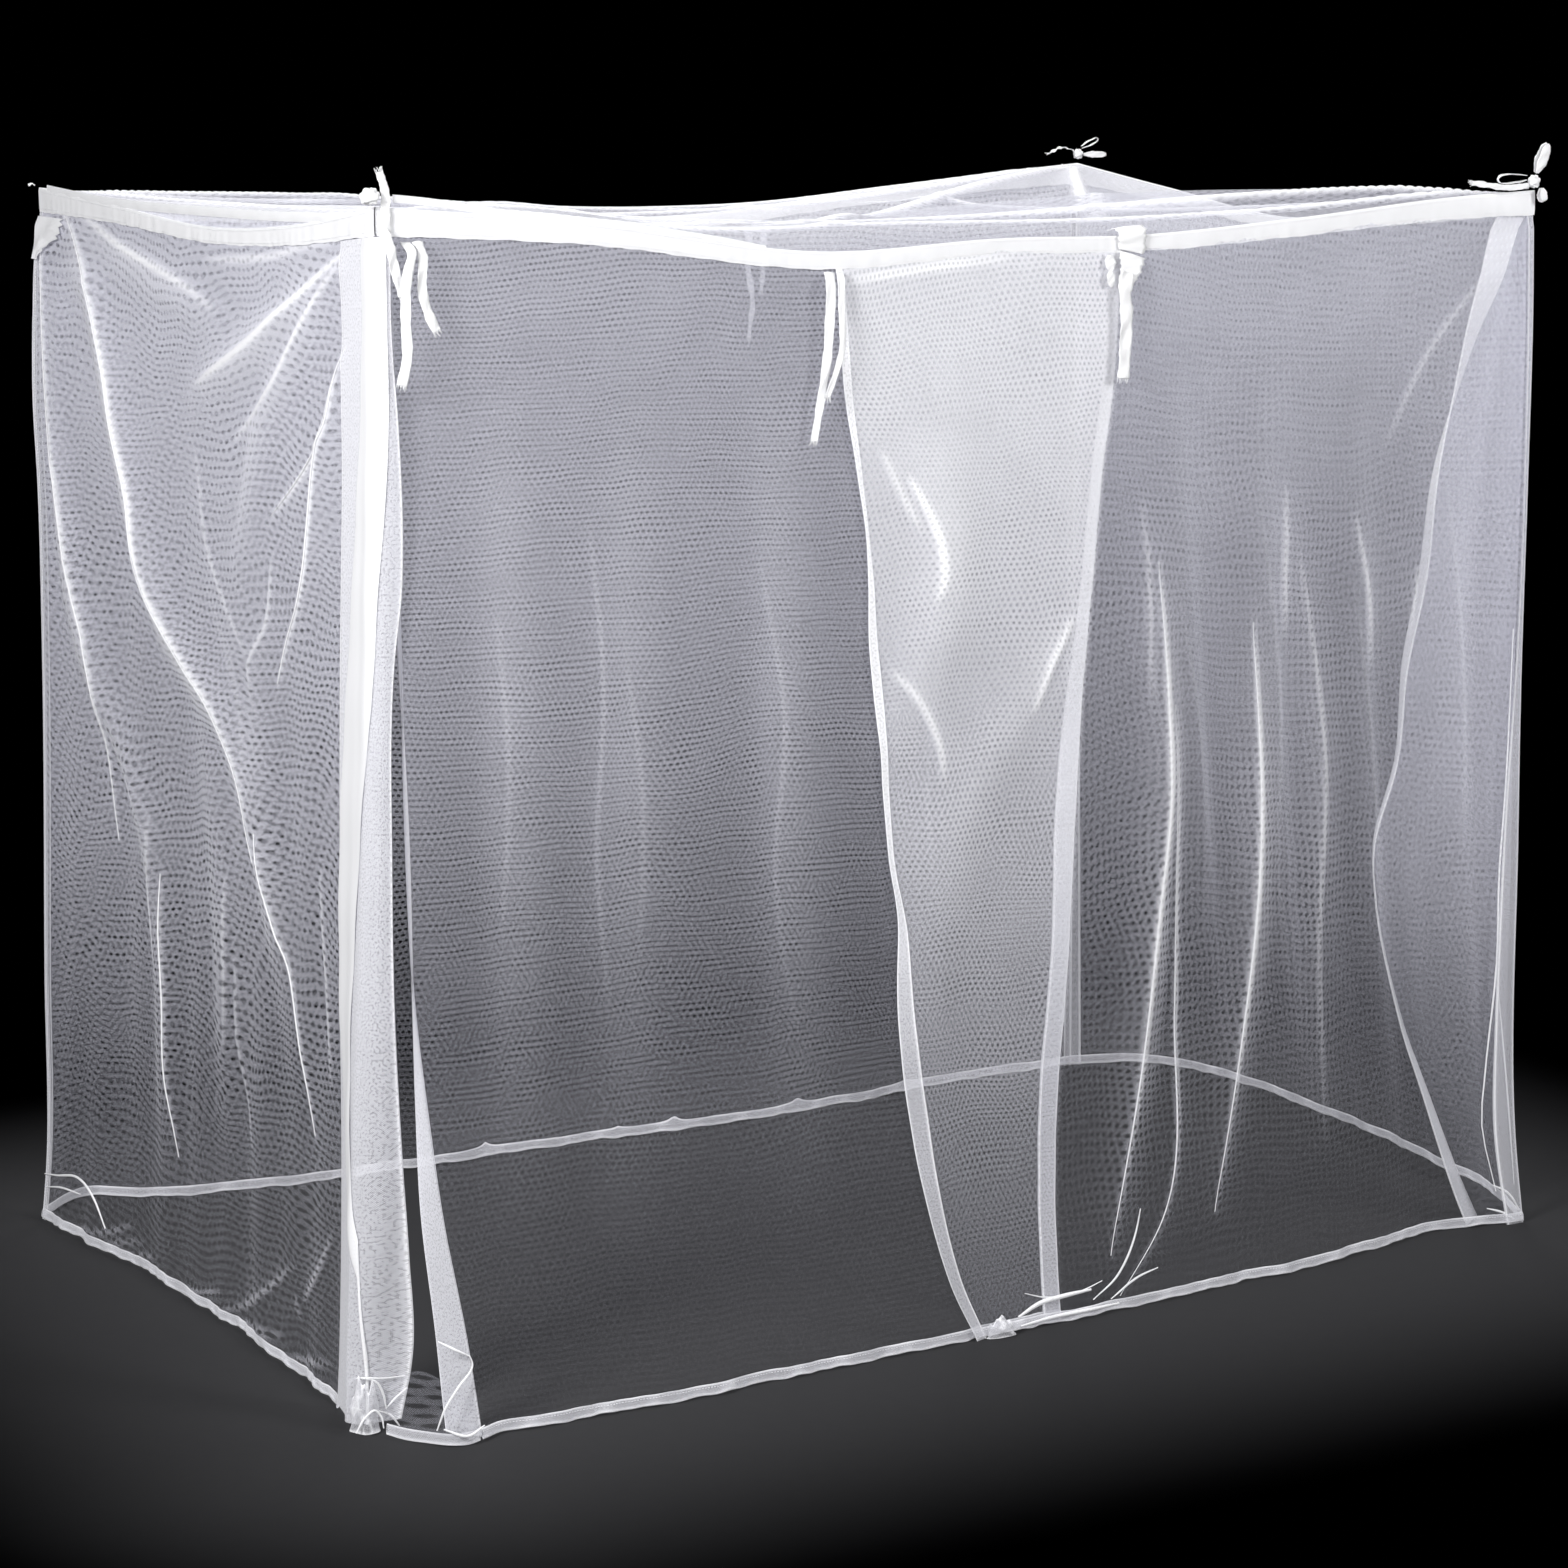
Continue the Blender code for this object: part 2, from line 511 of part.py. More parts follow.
def add_roof():
    """Mesh roof, which stops just inside the tape."""
    across, deep = ROOF_STEPS
    inset = TAPE_THICK / 2 + TAPE_GAP
    x = np.linspace(-LENGTH / 2 + inset, LENGTH / 2 - inset, across + 1)[None, :]
    y = np.linspace(-WIDTH / 2 + inset, WIDTH / 2 - inset, deep + 1)[:, None]
    x, y = np.broadcast_arrays(x, y)
    points = roof_point(x, y)
    points[..., 2] -= TAPE_GAP
    add_sheet("roof_panel", points, MESH_THICK, "mesh")


def add_tape(side):
    """Folded binding tape over the seam of the roof and one side."""
    inset = (TAPE_THICK + TAPE_GAP) / side_length(side) if side in ("left", "right") else 0.0
    t = np.linspace(inset, 1 - inset, round(side_length(side) / 0.09) + 1)
    top = tape_line(side, t) - CENTRE
    low = top.copy()
    low[..., 2] -= tape_height(t)
    add_sheet(side + "_tape", np.stack([top, low]), TAPE_THICK, "tape")


def smooth_path(points, steps):
    """Even points along a smooth curve through a few places."""
    pts = np.array(points, float)
    reach = np.concatenate([[0], np.cumsum(np.linalg.norm(np.diff(pts, axis=0), axis=1))])
    u = np.linspace(0, reach[-1], steps + 1)
    return np.stack([value_at(list(zip(reach, pts[:, k])), u) for k in range(3)], axis=-1)


def add_ribbon(name, points, across, steps=10, width=RIBBON_WIDTH):
    """A flat ribbon along a path. across is the direction of its width at each end.

    width is one width, or the widths at the two ends.
    """
    path = smooth_path(points, steps)
    start, end = (np.array(a, float) for a in across)
    first, last = width if isinstance(width, tuple) else (width, width)
    edges = []
    for i, p in enumerate(path):
        direction = start + (end - start) * i / steps
        direction *= (first + (last - first) * i / steps) / 2 / np.linalg.norm(direction)
        edges.append((p - direction, p + direction))
    return add_sheet(name, np.array(edges), RIBBON_THICK, "ribbon")


def add_knot(name, place, size):
    """A pulled knot: a rounded, slightly flattened lump."""
    bpy.ops.mesh.primitive_cube_add(size=1.0, location=place)
    obj = bpy.context.object
    obj.name = name
    obj.data.name = name
    for vertex in obj.data.vertices:
        vertex.co = Vector([c * s for c, s in zip(vertex.co, size)])
    bevel = obj.modifiers.new("rounding", "BEVEL")
    bevel.width = min(size) * 0.3
    bevel.segments = 2
    own = finish_of("ribbon").copy()
    own.name = name
    obj.data.materials.append(own)
    return obj


def offset_from(corner, dx, dy, dz):
    return corner_top(corner) - CENTRE + np.array([dx, dy, dz])


def hang(name, points, across, steps, width=RIBBON_WIDTH, about=None):
    """A ribbon end that swings about the top of its path, or about another place."""
    set_origin(add_ribbon(name, points, across, steps, width), points[0] if about is None else about)


def add_near_corner_ties():
    """Ribbon tied round the tape at the near corner, with three hanging ends."""
    corner = "front_left"
    add_knot("near_tie_knot", offset_from(corner, -0.012, -0.008, 0.014), (0.024, 0.018, 0.020))
    wrap = [(0.010, -0.0065, -0.032), (0.010, -0.0065, -0.006), (0.010, -0.008, 0.016), (0.003, -0.006, 0.044)]
    add_ribbon("near_tie_wrap", [offset_from(corner, *p) for p in wrap], ((1, 0, 0), (0.75, 0, 0.35)), 8, (0.016, 0.010))
    ends = (
        ("near_tie_short_end", ((0.004, -0.009, -0.026), (0.004, -0.028, -0.044), (0.012, -0.030, -0.080), (0.022, -0.030, -0.110)), ((1, 0, 0.3), (0.9, 0, 0.4)), 7),
        ("near_tie_long_end", ((0.037, -0.006, -0.044), (0.034, -0.032, -0.058), (0.026, -0.036, -0.082), (0.022, -0.036, -0.141), (0.023, -0.036, -0.190), (0.015, -0.036, -0.223)), ((1, 0, 0), (0.7, -0.5, 0)), 12),
        ("near_tie_frayed_end", ((0.054, -0.006, -0.044), (0.051, -0.028, -0.062), (0.049, -0.030, -0.105), (0.056, -0.030, -0.132), (0.068, -0.030, -0.156)), ((1, 0, 0), (0.8, 0, 0.5)), 10),
    )
    for name, points, across, steps in ends:
        hang(name, [offset_from(corner, *p) for p in points], across, steps, 0.013)


def bow_loop(start, tip, spread, side):
    """Path of a bow's loop: out to the tip on one side and back on the other."""
    start, tip, side = (np.array(a, float) for a in (start, tip, side))
    run = tip - start
    side /= np.linalg.norm(side)
    places = ((0.04, 0.5), (0.35, 0.9), (0.70, 1.0), (0.95, 0.6), (1.0, 0.0), (0.95, -0.6), (0.70, -1.0), (0.35, -0.9), (0.04, -0.5))
    return [start + run * along + side * spread * out for along, out in places]


def add_bow(prefix, knot, size, loops, tails):
    """A knot, loops of (name, start, tip, half width, side, across, width) and flat tails."""
    add_knot(prefix + "_knot", knot, size)
    for name, start, tip, spread, side, across, width in loops:
        path = bow_loop(knot + np.array(start), knot + np.array(tip), spread, side)
        add_ribbon(prefix + "_" + name, path, (across, across), 14, width)
    for name, points, across, width in tails:
        add_ribbon(prefix + "_" + name, [knot + np.array(p) for p in points], across, 8, width)


def add_far_corner_bows():
    knot = offset_from("front_right", -0.012, -0.013, 0.014)
    loops = [
        ("upper_loop", (0.003, 0.0, 0.011), (0.024, 0.0, 0.056), 0.004, (0, 1, 0), (0.92, 0, -0.39), 0.018),
        ("lower_loop", (0.013, -0.002, -0.009), (0.015, -0.004, -0.030), 0.004, (0, 1, 0), (0.95, 0, 0.3), 0.013),
        ("flat_loop", (-0.012, 0.0, 0.006), (-0.070, 0.0, 0.004), 0.0065, (0, 0, 1), (0, 1, 0.1), 0.010),
    ]
    tails = [("tail", [(-0.012, -0.002, -0.006), (-0.055, -0.004, -0.008), (-0.105, -0.002, -0.002), (-0.122, -0.002, 0.000)], ((0, 0.3, 1), (0, 0.5, 1)), 0.009)]
    add_bow("right_bow", knot, (0.018, 0.013, 0.018), loops, tails)
    knot = offset_from("back_right", 0.004, 0.004, 0.016)
    loops = [
        ("long_loop", (0.010, 0.0, -0.001), (0.058, -0.002, -0.001), 0.004, (0, 1, 0), (0, 0.1, 1), 0.011),
        ("upper_loop", (0.006, 0.0, 0.011), (0.040, -0.002, 0.026), 0.004, (-0.4, 0, 0.9), (0.2, 1, 0), 0.010),
    ]
    tails = [("tail", [(-0.010, 0.0, 0.006), (-0.030, 0.002, 0.012), (-0.058, 0.004, 0.002)], ((0, 1, 0.3), (0, 1, 0)), 0.009)]
    add_bow("back_bow", knot, (0.016, 0.013, 0.016), loops, tails)
    loop = [(-0.004, 0.006, 0.002), (-0.004, 0.010, -0.014), (-0.008, 0.011, -0.022), (-0.013, 0.011, -0.024), (-0.018, 0.011, -0.022), (-0.022, 0.010, -0.014), (-0.022, 0.006, 0.002)]
    hang("back_bow_hanging_loop", [offset_from("back_right", *p) + np.array([0, 0.006, -0.004]) for p in loop], ((0, 1, 0), (0, 1, 0)), 14, 0.010)


def add_back_left_tie():
    """Short stub of ribbon at the back left corner."""
    stub = [(-0.005, 0.004, 0.004), (-0.010, 0.006, 0.006), (-0.014, 0.008, 0.004)]
    add_ribbon("back_left_tie", [offset_from("back_left", *p) for p in stub], ((0, 1, 0), (0, 1, 0.3)), 4, 0.008)


def before_front(t, drop, out, along=0.0):
    """A place before the front's tape line, dropped below its top edge."""
    point = tape_line("front", np.array(t)) - CENTRE
    return point + np.array([along, -out, -drop])


def add_door_ties():
    """Ribbon ties that hang before the doors from the front's tape."""
    t = 0.355
    left = [(-0.011, 0.027, 0.009), (-0.013, 0.040, 0.016), (-0.016, 0.104, 0.018), (-0.021, 0.146, 0.020), (-0.031, 0.198, 0.021), (-0.042, 0.251, 0.022)]
    hang("outer_door_left_tie", [before_front(t, drop, out, dx) for dx, drop, out in left], ((1, 0, 0), (0.8, -0.5, 0)), 12, (0.016, 0.009))
    side = [(0.006, 0.027, 0.009), (0.004, 0.040, 0.016), (0.001, 0.080, 0.022), (-0.001, 0.127, 0.027), (-0.012, 0.158, 0.031), (-0.027, 0.191, 0.032)]
    hang("outer_door_left_tie_side", [before_front(t, drop, out, dx) for dx, drop, out in side], ((1, 0, 0), (0.9, 0, 0.4)), 10, (0.011, 0.008))
    t = 0.612
    wrap = [(0.0, -0.010, -0.018), (0.0, -0.011, -0.010), (0.0, -0.011, 0.0), (0.0, -0.004, 0.006), (0.0, 0.012, 0.006), (-0.002, 0.022, 0.007)]
    add_ribbon("outer_door_tie_wrap", [before_front(t, drop, out, dx) for dx, drop, out in wrap], ((1, 0, 0.1), (1, 0, 0)), 12, (0.050, 0.046))
    fall = [(-0.002, 0.026, 0.010), (-0.008, 0.045, 0.015), (-0.021, 0.068, 0.018)]
    hang("outer_door_tie_fall", [before_front(t, drop, out, dx) for dx, drop, out in fall], ((1, 0, 0), (1, 0, 0)), 6, (0.044, 0.022))
    lobe = [(-0.040, 0.026, 0.010), (-0.042, 0.040, 0.014), (-0.042, 0.058, 0.016), (-0.041, 0.070, 0.016)]
    hang("outer_door_tie_lobe", [before_front(t, drop, out, dx) for dx, drop, out in lobe], ((1, 0, 0), (1, 0, 0)), 6, (0.020, 0.012))
    right = [(-0.0216, 0.074, 0.022), (-0.020, 0.110, 0.024), (-0.022, 0.150, 0.025), (-0.0258, 0.198, 0.026)]
    top = before_front(t, *fall[0][1:], fall[0][0])
    hang("outer_door_right_tie", [before_front(t, drop, out, dx) for dx, drop, out in right], ((1, 0, 0), (1, 0, 0)), 10, (0.022, 0.019), top)


def add_back_ties():
    """Two knotted ribbon ends that hang outside the back wall."""
    for name, t, ends in (
        ("back_tie_long_end", 0.655, ((0.0, 0.0), (-0.004, -0.060), (0.004, -0.120), (-0.002, -0.185))),
        ("back_tie_short_end", 0.668, ((0.0, 0.0), (0.002, -0.050), (-0.003, -0.110))),
    ):
        top = wall_point("back", t, 0.0, RIBBON_GAP)
        points = [top + np.array([dx, 0.002 * (i % 2), dz - 0.008]) for i, (dx, dz) in enumerate(ends)]
        hang(name, points, ((1, 0, 0), (0.8, 0.5, 0)), 8, 0.013)


# Each curtain's side, the stretch of it that the curtain hangs from, how far it stands out,
# and its pieces. The door ties hang from the tape, but lie before the outer curtain and go with it.
CURTAINS = {
    "left_curtain": ("left", (0, 1), 0.0, ("left_wall", "left_wall_back_hem", "left_wall_bottom_hem", "near_corner_strip", "near_corner_gusset", "near_corner_gusset_hem", "back_corner_patch")),
    "back_curtain": ("back", (0, 1), 0.0, ("back_wall", "back_wall_left_hem", "back_wall_right_hem", "back_wall_bottom_hem", "back_tie_long_end", "back_tie_short_end")),
    "right_curtain": ("right", (0, 1), 0.0, ("right_wall", "right_wall_back_hem", "right_wall_bottom_hem", "right_flap", "right_flap_hem")),
    "inner_curtain": ("front", (0, 0.606), -DOOR_GAP / 2, ("inner_door", "inner_door_edge_hem", "inner_door_corner_hem", "inner_door_bottom_hem")),
    "outer_curtain": ("front", (0.357, 1), DOOR_GAP / 2, ("outer_door", "outer_door_edge_hem", "outer_door_corner_hem", "outer_door_bottom_hem", "outer_door_left_tie", "outer_door_left_tie_side", "outer_door_tie_fall", "outer_door_tie_lobe", "outer_door_right_tie")),
}


def seam_axis(side, ends, stand):
    """Middle and direction of the straight line that rests on a curtain's sagging top seam."""
    seam = wall_point(side, np.linspace(ends[0], ends[1], 21), 0.0, stand)
    along = 0 if side in ("front", "back") else 1
    slope, height = np.polyfit(seam[:, along], seam[:, 2], 1)
    height += (seam[:, 2] - height - slope * seam[:, along]).max()
    for point in seam:
        point[2] = height + slope * point[along]
    return Vector(seam.mean(axis=0)), Vector(seam[-1] - seam[0]).normalized()


def add_seam_pivots():
    """An empty on the top seam of each curtain, its X axis along the seam, carries the curtain."""
    for name, (side, ends, stand, pieces) in CURTAINS.items():
        middle, direction = seam_axis(side, ends, stand)
        place = Matrix.Translation(middle) @ direction.to_track_quat("X", "Z").to_matrix().to_4x4()
        pivot = bpy.data.objects.new(name + "_seam", None)
        pivot.empty_display_size = 0.05
        pivot.matrix_world = place
        bpy.context.scene.collection.objects.link(pivot)
        for piece in pieces:
            obj = bpy.data.objects[piece]
            obj.parent = pivot
            obj.matrix_parent_inverse = place.inverted()


def main():
    remove_startup_objects()
    add_roof()
    for side in SIDES:
        add_tape(side)
    add_left_curtain()
    add_corner_gusset()
    add_back_curtain()
    add_right_curtain()
    add_front_curtains()
    add_near_corner_ties()
    add_far_corner_bows()
    add_back_left_tie()
    add_door_ties()
    add_back_ties()
    add_seam_pivots()


main()
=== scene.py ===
import math

import bmesh
import bpy
import numpy as np
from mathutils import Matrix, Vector


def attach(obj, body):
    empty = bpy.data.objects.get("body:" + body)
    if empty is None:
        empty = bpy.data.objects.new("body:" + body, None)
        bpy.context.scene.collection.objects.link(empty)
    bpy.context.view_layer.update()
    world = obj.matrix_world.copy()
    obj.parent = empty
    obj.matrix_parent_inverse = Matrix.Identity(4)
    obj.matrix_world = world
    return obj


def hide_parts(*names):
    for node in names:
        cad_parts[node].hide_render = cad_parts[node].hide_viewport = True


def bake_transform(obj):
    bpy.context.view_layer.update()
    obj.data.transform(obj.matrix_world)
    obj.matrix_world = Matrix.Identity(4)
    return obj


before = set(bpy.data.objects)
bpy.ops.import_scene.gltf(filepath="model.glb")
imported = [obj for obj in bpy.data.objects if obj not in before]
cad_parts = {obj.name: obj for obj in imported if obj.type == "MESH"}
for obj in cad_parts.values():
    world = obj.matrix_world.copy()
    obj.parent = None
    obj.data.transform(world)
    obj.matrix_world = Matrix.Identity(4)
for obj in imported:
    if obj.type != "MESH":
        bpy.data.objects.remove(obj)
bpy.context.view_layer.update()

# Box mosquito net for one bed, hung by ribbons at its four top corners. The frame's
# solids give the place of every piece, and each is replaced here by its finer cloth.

# Camera at the photograph's angle, standing at the near corner
CAMERA_PLACE = (-3.1863, -5.3077, 1.788)
CAMERA_TURN = (79.93, 0.0, -30.55)
LENS, SENSOR = 94.11, 36.0

# Floor: half sizes of the middle where a pool of light is painted into its colour, the
# width of the painted pool's soft edge, and its colour
PAINTED_POOL_HALF = (0.95, 0.62)
PAINTED_POOL_EDGE = 0.75
FLOOR_GREY = (0.045, 0.045, 0.047)
FLOOR_REACH = 4.0
FLOOR_LEVEL = -0.001

# Weak light of the room, and the lamps: place, aim, power in watts and size in metres
ROOM_LIGHT = ((0.93, 0.95, 1.0, 1), 0.12)
LAMPS = {
    "key": ((-3.8, -2.2, 2.6), (-0.2, 0.0, 1.1), 172, 1.3),
    "front": ((1.5, -3.8, 2.6), (0.2, 0.0, 1.1), 84, 1.4),
    "low": ((-2.0, -4.4, 0.75), (0.0, -0.4, 0.1), 46, 1.2),
    "back": ((2.6, 4.0, 2.6), (0.1, 0.2, 1.1), 95, 1.4),
    "top": ((0.0, 0.2, 3.3), (0.0, 0.1, 1.0), 32, 1.6),
}

# Size of the hanging net between its four top corners, in metres
LENGTH = 1.90
WIDTH = 1.20
HEIGHT = 1.60

# Widths of the sewn edges, and the gaps between the cloths
BOTTOM_HEM = 0.016
BACK_CORNER_HEM = 0.012
TURNED_HEM = 0.052
FLAP_HEM = 0.055
TAPE_HEIGHT = 0.036
TAPE_HEIGHT_MID = 0.022
DOOR_GAP = 0.009
FLAP_GAP = 0.016
SLIT_GAP = 0.005
GUSSET_START = 0.012
TAPE_GAP = 0.0015
SEAM_GAP = 0.001
CORNER_GAP = 0.0006
STRIP_STAND = 0.022

# How a curtain sweeps outwards to its hem, how the sag of each side fades on the roof and
# how deep the roof sags in the middle, and how a corner's bend fades along a side
SWEEP = 1.5
ROOF_FADE = 5.0
ROOF_DIP = 0.045
BEND_FADE = 8

# Distances from a seam in which folds, creases and the finest relief die away
FOLD_FADE = 0.09
CREASE_FADE = 0.03
FINE_FADE = 0.04

# Corners: which side of the middle they are on, the drop of their tops, and how far their
# feet stand from under them
CORNERS = {
    "front_left": (-1, -1, 0.000, (-0.061, 0.009)),
    "front_right": (1, -1, 0.010, (0.019, -0.028)),
    "back_left": (-1, 1, 0.008, (-0.063, -0.042)),
    "back_right": (1, 1, -0.004, (-0.020, -0.040)),
}

# Each side: its corners, its outward direction, the sag of its tape, the spread of its
# hem and, where it has one, the lift of its hem off the floor, at fractions along the side
SIDES = {
    "front": {
        "ends": ("front_left", "front_right"),
        "out": (0, -1),
        "sag": (
            (0, 0), (0.15, 0.022), (0.35, 0.068), (0.50, 0.055), (0.62, 0.054), (0.77, 0.034),
            (0.92, 0.008), (1, 0),
        ),
        "spread": (
            (0, 0), (0.02, 0.092), (0.033, 0.130), (0.08, 0.130), (0.22, 0.126), (0.42, 0.098),
            (0.63, 0.062), (0.79, 0.030), (0.85, 0.005), (0.93, -0.022), (1, 0),
        ),
    },
    "back": {
        "ends": ("back_left", "back_right"),
        "out": (0, 1),
        "sag": (
            (0, 0), (0.08, 0.021), (0.16, 0.032), (0.28, 0.040), (0.50, 0.070), (0.60, 0.068),
            (0.77, 0.036), (0.92, 0.011), (1, 0),
        ),
        "spread": (
            (0, 0), (0.033, 0.066), (0.055, 0.080), (0.09, 0.028), (0.15, -0.003), (0.25, -0.030),
            (0.40, -0.028), (0.56, -0.038), (0.66, -0.046), (0.80, -0.018), (0.88, 0.000), (1, 0),
        ),
    },
    "left": {
        "ends": ("front_left", "back_left"),
        "out": (-1, 0),
        "sag": ((0, 0), (0.20, 0.028), (0.42, 0.040), (0.73, 0.020), (1, 0)),
        "spread": (
            (0, 0), (0.11, -0.021), (0.27, -0.034), (0.50, -0.036), (0.70, -0.031), (0.85, -0.013),
            (1, 0),
        ),
    },
    "right": {
        "ends": ("front_right", "back_right"),
        "out": (1, 0),
        "sag": ((0, 0), (0.26, 0.042), (0.49, 0.066), (0.77, 0.032), (1, 0)),
        "spread": (
            (0, 0), (0.08, 0.032), (0.19, 0.060), (0.36, 0.086), (0.60, 0.115), (0.78, 0.124),
            (0.87, 0.112), (0.95, 0.060), (1, 0),
        ),
        "lift": ((0, 0), (0.10, 0.010), (0.30, 0.018), (0.80, 0.018), (0.93, 0.012), (1, 0)),
    },
}

# How far the upright edges at two corners bend along the net, at shares of the way down
BENDS = {
    "back_left": (
        (0, 0), (0.04, -0.010), (0.09, -0.0145), (0.18, -0.017), (0.26, -0.011), (0.43, -0.005),
        (0.75, 0), (0.95, 0.005), (1, 0),
    ),
    "front_right": (
        (0, 0), (0.08, 0.003), (0.26, -0.001), (0.45, -0.009), (0.60, -0.012), (0.92, -0.014),
        (1, 0),
    ),
}

# Where the free edges of the curtains lie: (share of the way down, fraction along the side).
# The widths of hems and strips are in metres, and the turns are in degrees.
OUTER_DOOR_EDGE = (
    (0, 0.357), (0.11, 0.363), (0.19, 0.374), (0.24, 0.380), (0.35, 0.382), (0.45, 0.390),
    (0.54, 0.396), (0.60, 0.402), (0.65, 0.400), (0.78, 0.407), (0.88, 0.423), (0.94, 0.438),
    (1, 0.462),
)
OUTER_DOOR_HEM = (
    (0, 0.010), (0.07, 0.013), (0.20, 0.006), (0.24, 0.004), (0.30, 0.010), (0.35, 0.014),
    (0.48, 0.009), (0.58, 0.009), (0.65, 0.021), (0.75, 0.028), (0.90, 0.022), (1, 0.018),
)
INNER_DOOR_EDGE = (
    (0, 0.606), (0.12, 0.600), (0.20, 0.590), (0.30, 0.581), (0.39, 0.572), (0.51, 0.564),
    (0.67, 0.5535), (0.79, 0.542), (0.88, 0.5385), (1, 0.541),
)
INNER_DOOR_HEM = (
    (0, 0.016), (0.12, 0.019), (0.25, 0.019), (0.34, 0.022), (0.45, 0.033), (0.51, 0.036),
    (0.63, 0.031), (0.75, 0.031), (0.88, 0.028), (1, 0.028),
)
SLIT_EDGE = (
    (0, 0.012), (0.20, 0.013), (0.34, 0.0169), (0.46, 0.0184), (0.54, 0.0202), (0.63, 0.0234),
    (0.72, 0.0297), (0.82, 0.0382), (0.92, 0.0524), (1, 0.063),
)
SLIT_TURN = (
    (0, 88), (0.30, 108), (0.54, 119), (0.64, 112), (0.73, 97), (0.84, 77), (0.94, 60), (1, 50)
)
GUSSET_TOP = ((0.012, 0.955), (0.022, 0.940), (0.036, 0.945), (0.052, 0.962))
FLAP_EDGE = (
    (0, 0.965), (0.04, 0.9555), (0.09, 0.943), (0.16, 0.930), (0.24, 0.916), (0.35, 0.906),
    (0.43, 0.889), (0.52, 0.880), (0.60, 0.855), (0.66, 0.858), (0.78, 0.891), (0.85, 0.915),
    (1, 0.955),
)
FLAP_TURN = ((0, 2), (0.06, 12), (0.12, 34), (0.18, 48), (0.60, 52), (0.80, 50), (1, 34))
OUTER_CORNER_HEM = (
    (0, 0.010), (0.45, 0.012), (0.60, 0.028), (0.80, 0.036), (0.90, 0.040), (1, 0.030)
)
STRIP_BACK = ((0, 0.106), (0.15, 0.104), (0.38, 0.110), (0.60, 0.105), (0.80, 0.093), (1, 0.078))
STRIP_LEG = (
    (0, 0.008), (0.08, 0.010), (0.155, 0.020), (0.25, 0.0275), (0.29, 0.027), (0.34, 0.019),
    (0.52, 0.021), (0.63, 0.029), (0.77, 0.0485), (0.85, 0.0625), (0.94, 0.074), (1, 0.060),
)
PATCH_WIDTHS = (
    (0.003, 0.100), (0.012, 0.096), (0.022, 0.088), (0.031, 0.048), (0.038, 0.030), (0.046, 0.016)
)

# Heights of the taut roof seams above the sagging tapes
LEFT_SEAM = ((0, 1.596), (0.04, 1.593), (0.22, 1.586), (0.45, 1.584), (0.78, 1.587), (1, 1.599))
FRONT_SEAM = (
    (0, 1.618), (0.04, 1.610), (0.077, 1.599), (0.115, 1.588), (0.153, 1.580), (0.20, 1.570),
    (0.27, 1.550), (0.31, 1.535),
)

# White band where the near corner's strip lies in several layers, in rails from its back edge
FOLD_BAND_LEFT = (
    (0, 2), (0.082, 2), (0.312, 1), (0.55, 0), (0.694, 0.3), (0.875, 3.1), (0.945, 3.9), (1, 4.2)
)
FOLD_BAND_RIGHT = (
    (0, 5), (0.082, 5), (0.312, 3.4), (0.55, 2.3), (0.694, 2), (0.875, 3.4), (0.945, 4.1), (1, 4.4)
)

# Main folds of each side: half width, depth, and the path: metres along the side and height
FOLDS = {
    "front": (
        (0.034, 0.020, (1.207, 1.08), (1.214, 0.87), (1.190, 0.58), (1.158, 0.36), (1.110, 0.08)),
        (0.036, 0.018, (1.378, 0.98), (1.377, 0.64), (1.339, 0.34), (1.298, 0.12)),
        (0.038, 0.014, (1.457, 1.09), (1.503, 0.78), (1.492, 0.48), (1.510, 0.20)),
        (0.055, 0.012, (0.180, 1.30), (0.185, 0.80), (0.185, 0.30)),
        (0.050, 0.010, (0.320, 1.20), (0.330, 0.70), (0.335, 0.25)),
        (0.055, 0.012, (0.590, 1.25), (0.600, 0.75), (0.605, 0.25)),
        (0.045, 0.010, (0.840, 1.30), (0.855, 1.04), (0.750, 0.85)),
        (0.045, 0.010, (1.040, 0.95), (0.880, 0.76), (0.830, 0.55)),
    ),
    "left": (
        (
            0.036, 0.020, (1.102, 1.54), (0.969, 1.43), (0.901, 1.29), (0.711, 0.99), (0.482, 0.86),
            (0.306, 0.61),
        ),
        (0.034, 0.018, (1.130, 1.40), (1.120, 1.24), (1.060, 0.98), (0.779, 0.66), (0.733, 0.20)),
        (0.032, 0.012, (0.994, 1.53), (0.745, 1.48), (0.530, 1.43)),
        (0.036, 0.016, (0.160, 1.52), (0.342, 1.42), (0.589, 1.33)),
        (0.034, 0.014, (0.170, 1.45), (0.348, 1.30), (0.450, 1.10)),
        (0.036, 0.012, (0.572, 0.85), (0.533, 0.61), (0.532, 0.32)),
        (0.036, 0.012, (0.408, 0.94), (0.352, 0.72), (0.278, 0.45)),
    ),
    "back": (
        (0.050, 0.016, (0.300, 1.25), (0.320, 0.70), (0.310, 0.06)),
        (0.045, 0.014, (0.540, 1.20), (0.550, 0.65), (0.560, 0.06)),
        (0.045, 0.016, (0.780, 1.22), (0.780, 0.60), (0.790, 0.06)),
        (0.050, 0.018, (1.020, 1.20), (1.026, 0.56), (1.037, 0.06)),
        (0.045, 0.016, (1.290, 1.22), (1.299, 0.53), (1.315, 0.06)),
        (0.050, 0.014, (1.560, 1.20), (1.550, 0.60), (1.560, 0.06)),
    ),
    "right": (
        (0.042, 0.014, (0.200, 1.30), (0.190, 0.70), (0.170, 0.06)),
        (0.046, 0.016, (0.430, 1.22), (0.440, 0.65), (0.430, 0.06)),
        (0.046, 0.014, (0.680, 1.22), (0.690, 0.60), (0.700, 0.06)),
        (0.042, 0.012, (0.920, 1.24), (0.930, 0.60), (0.950, 0.06)),
    ),
}
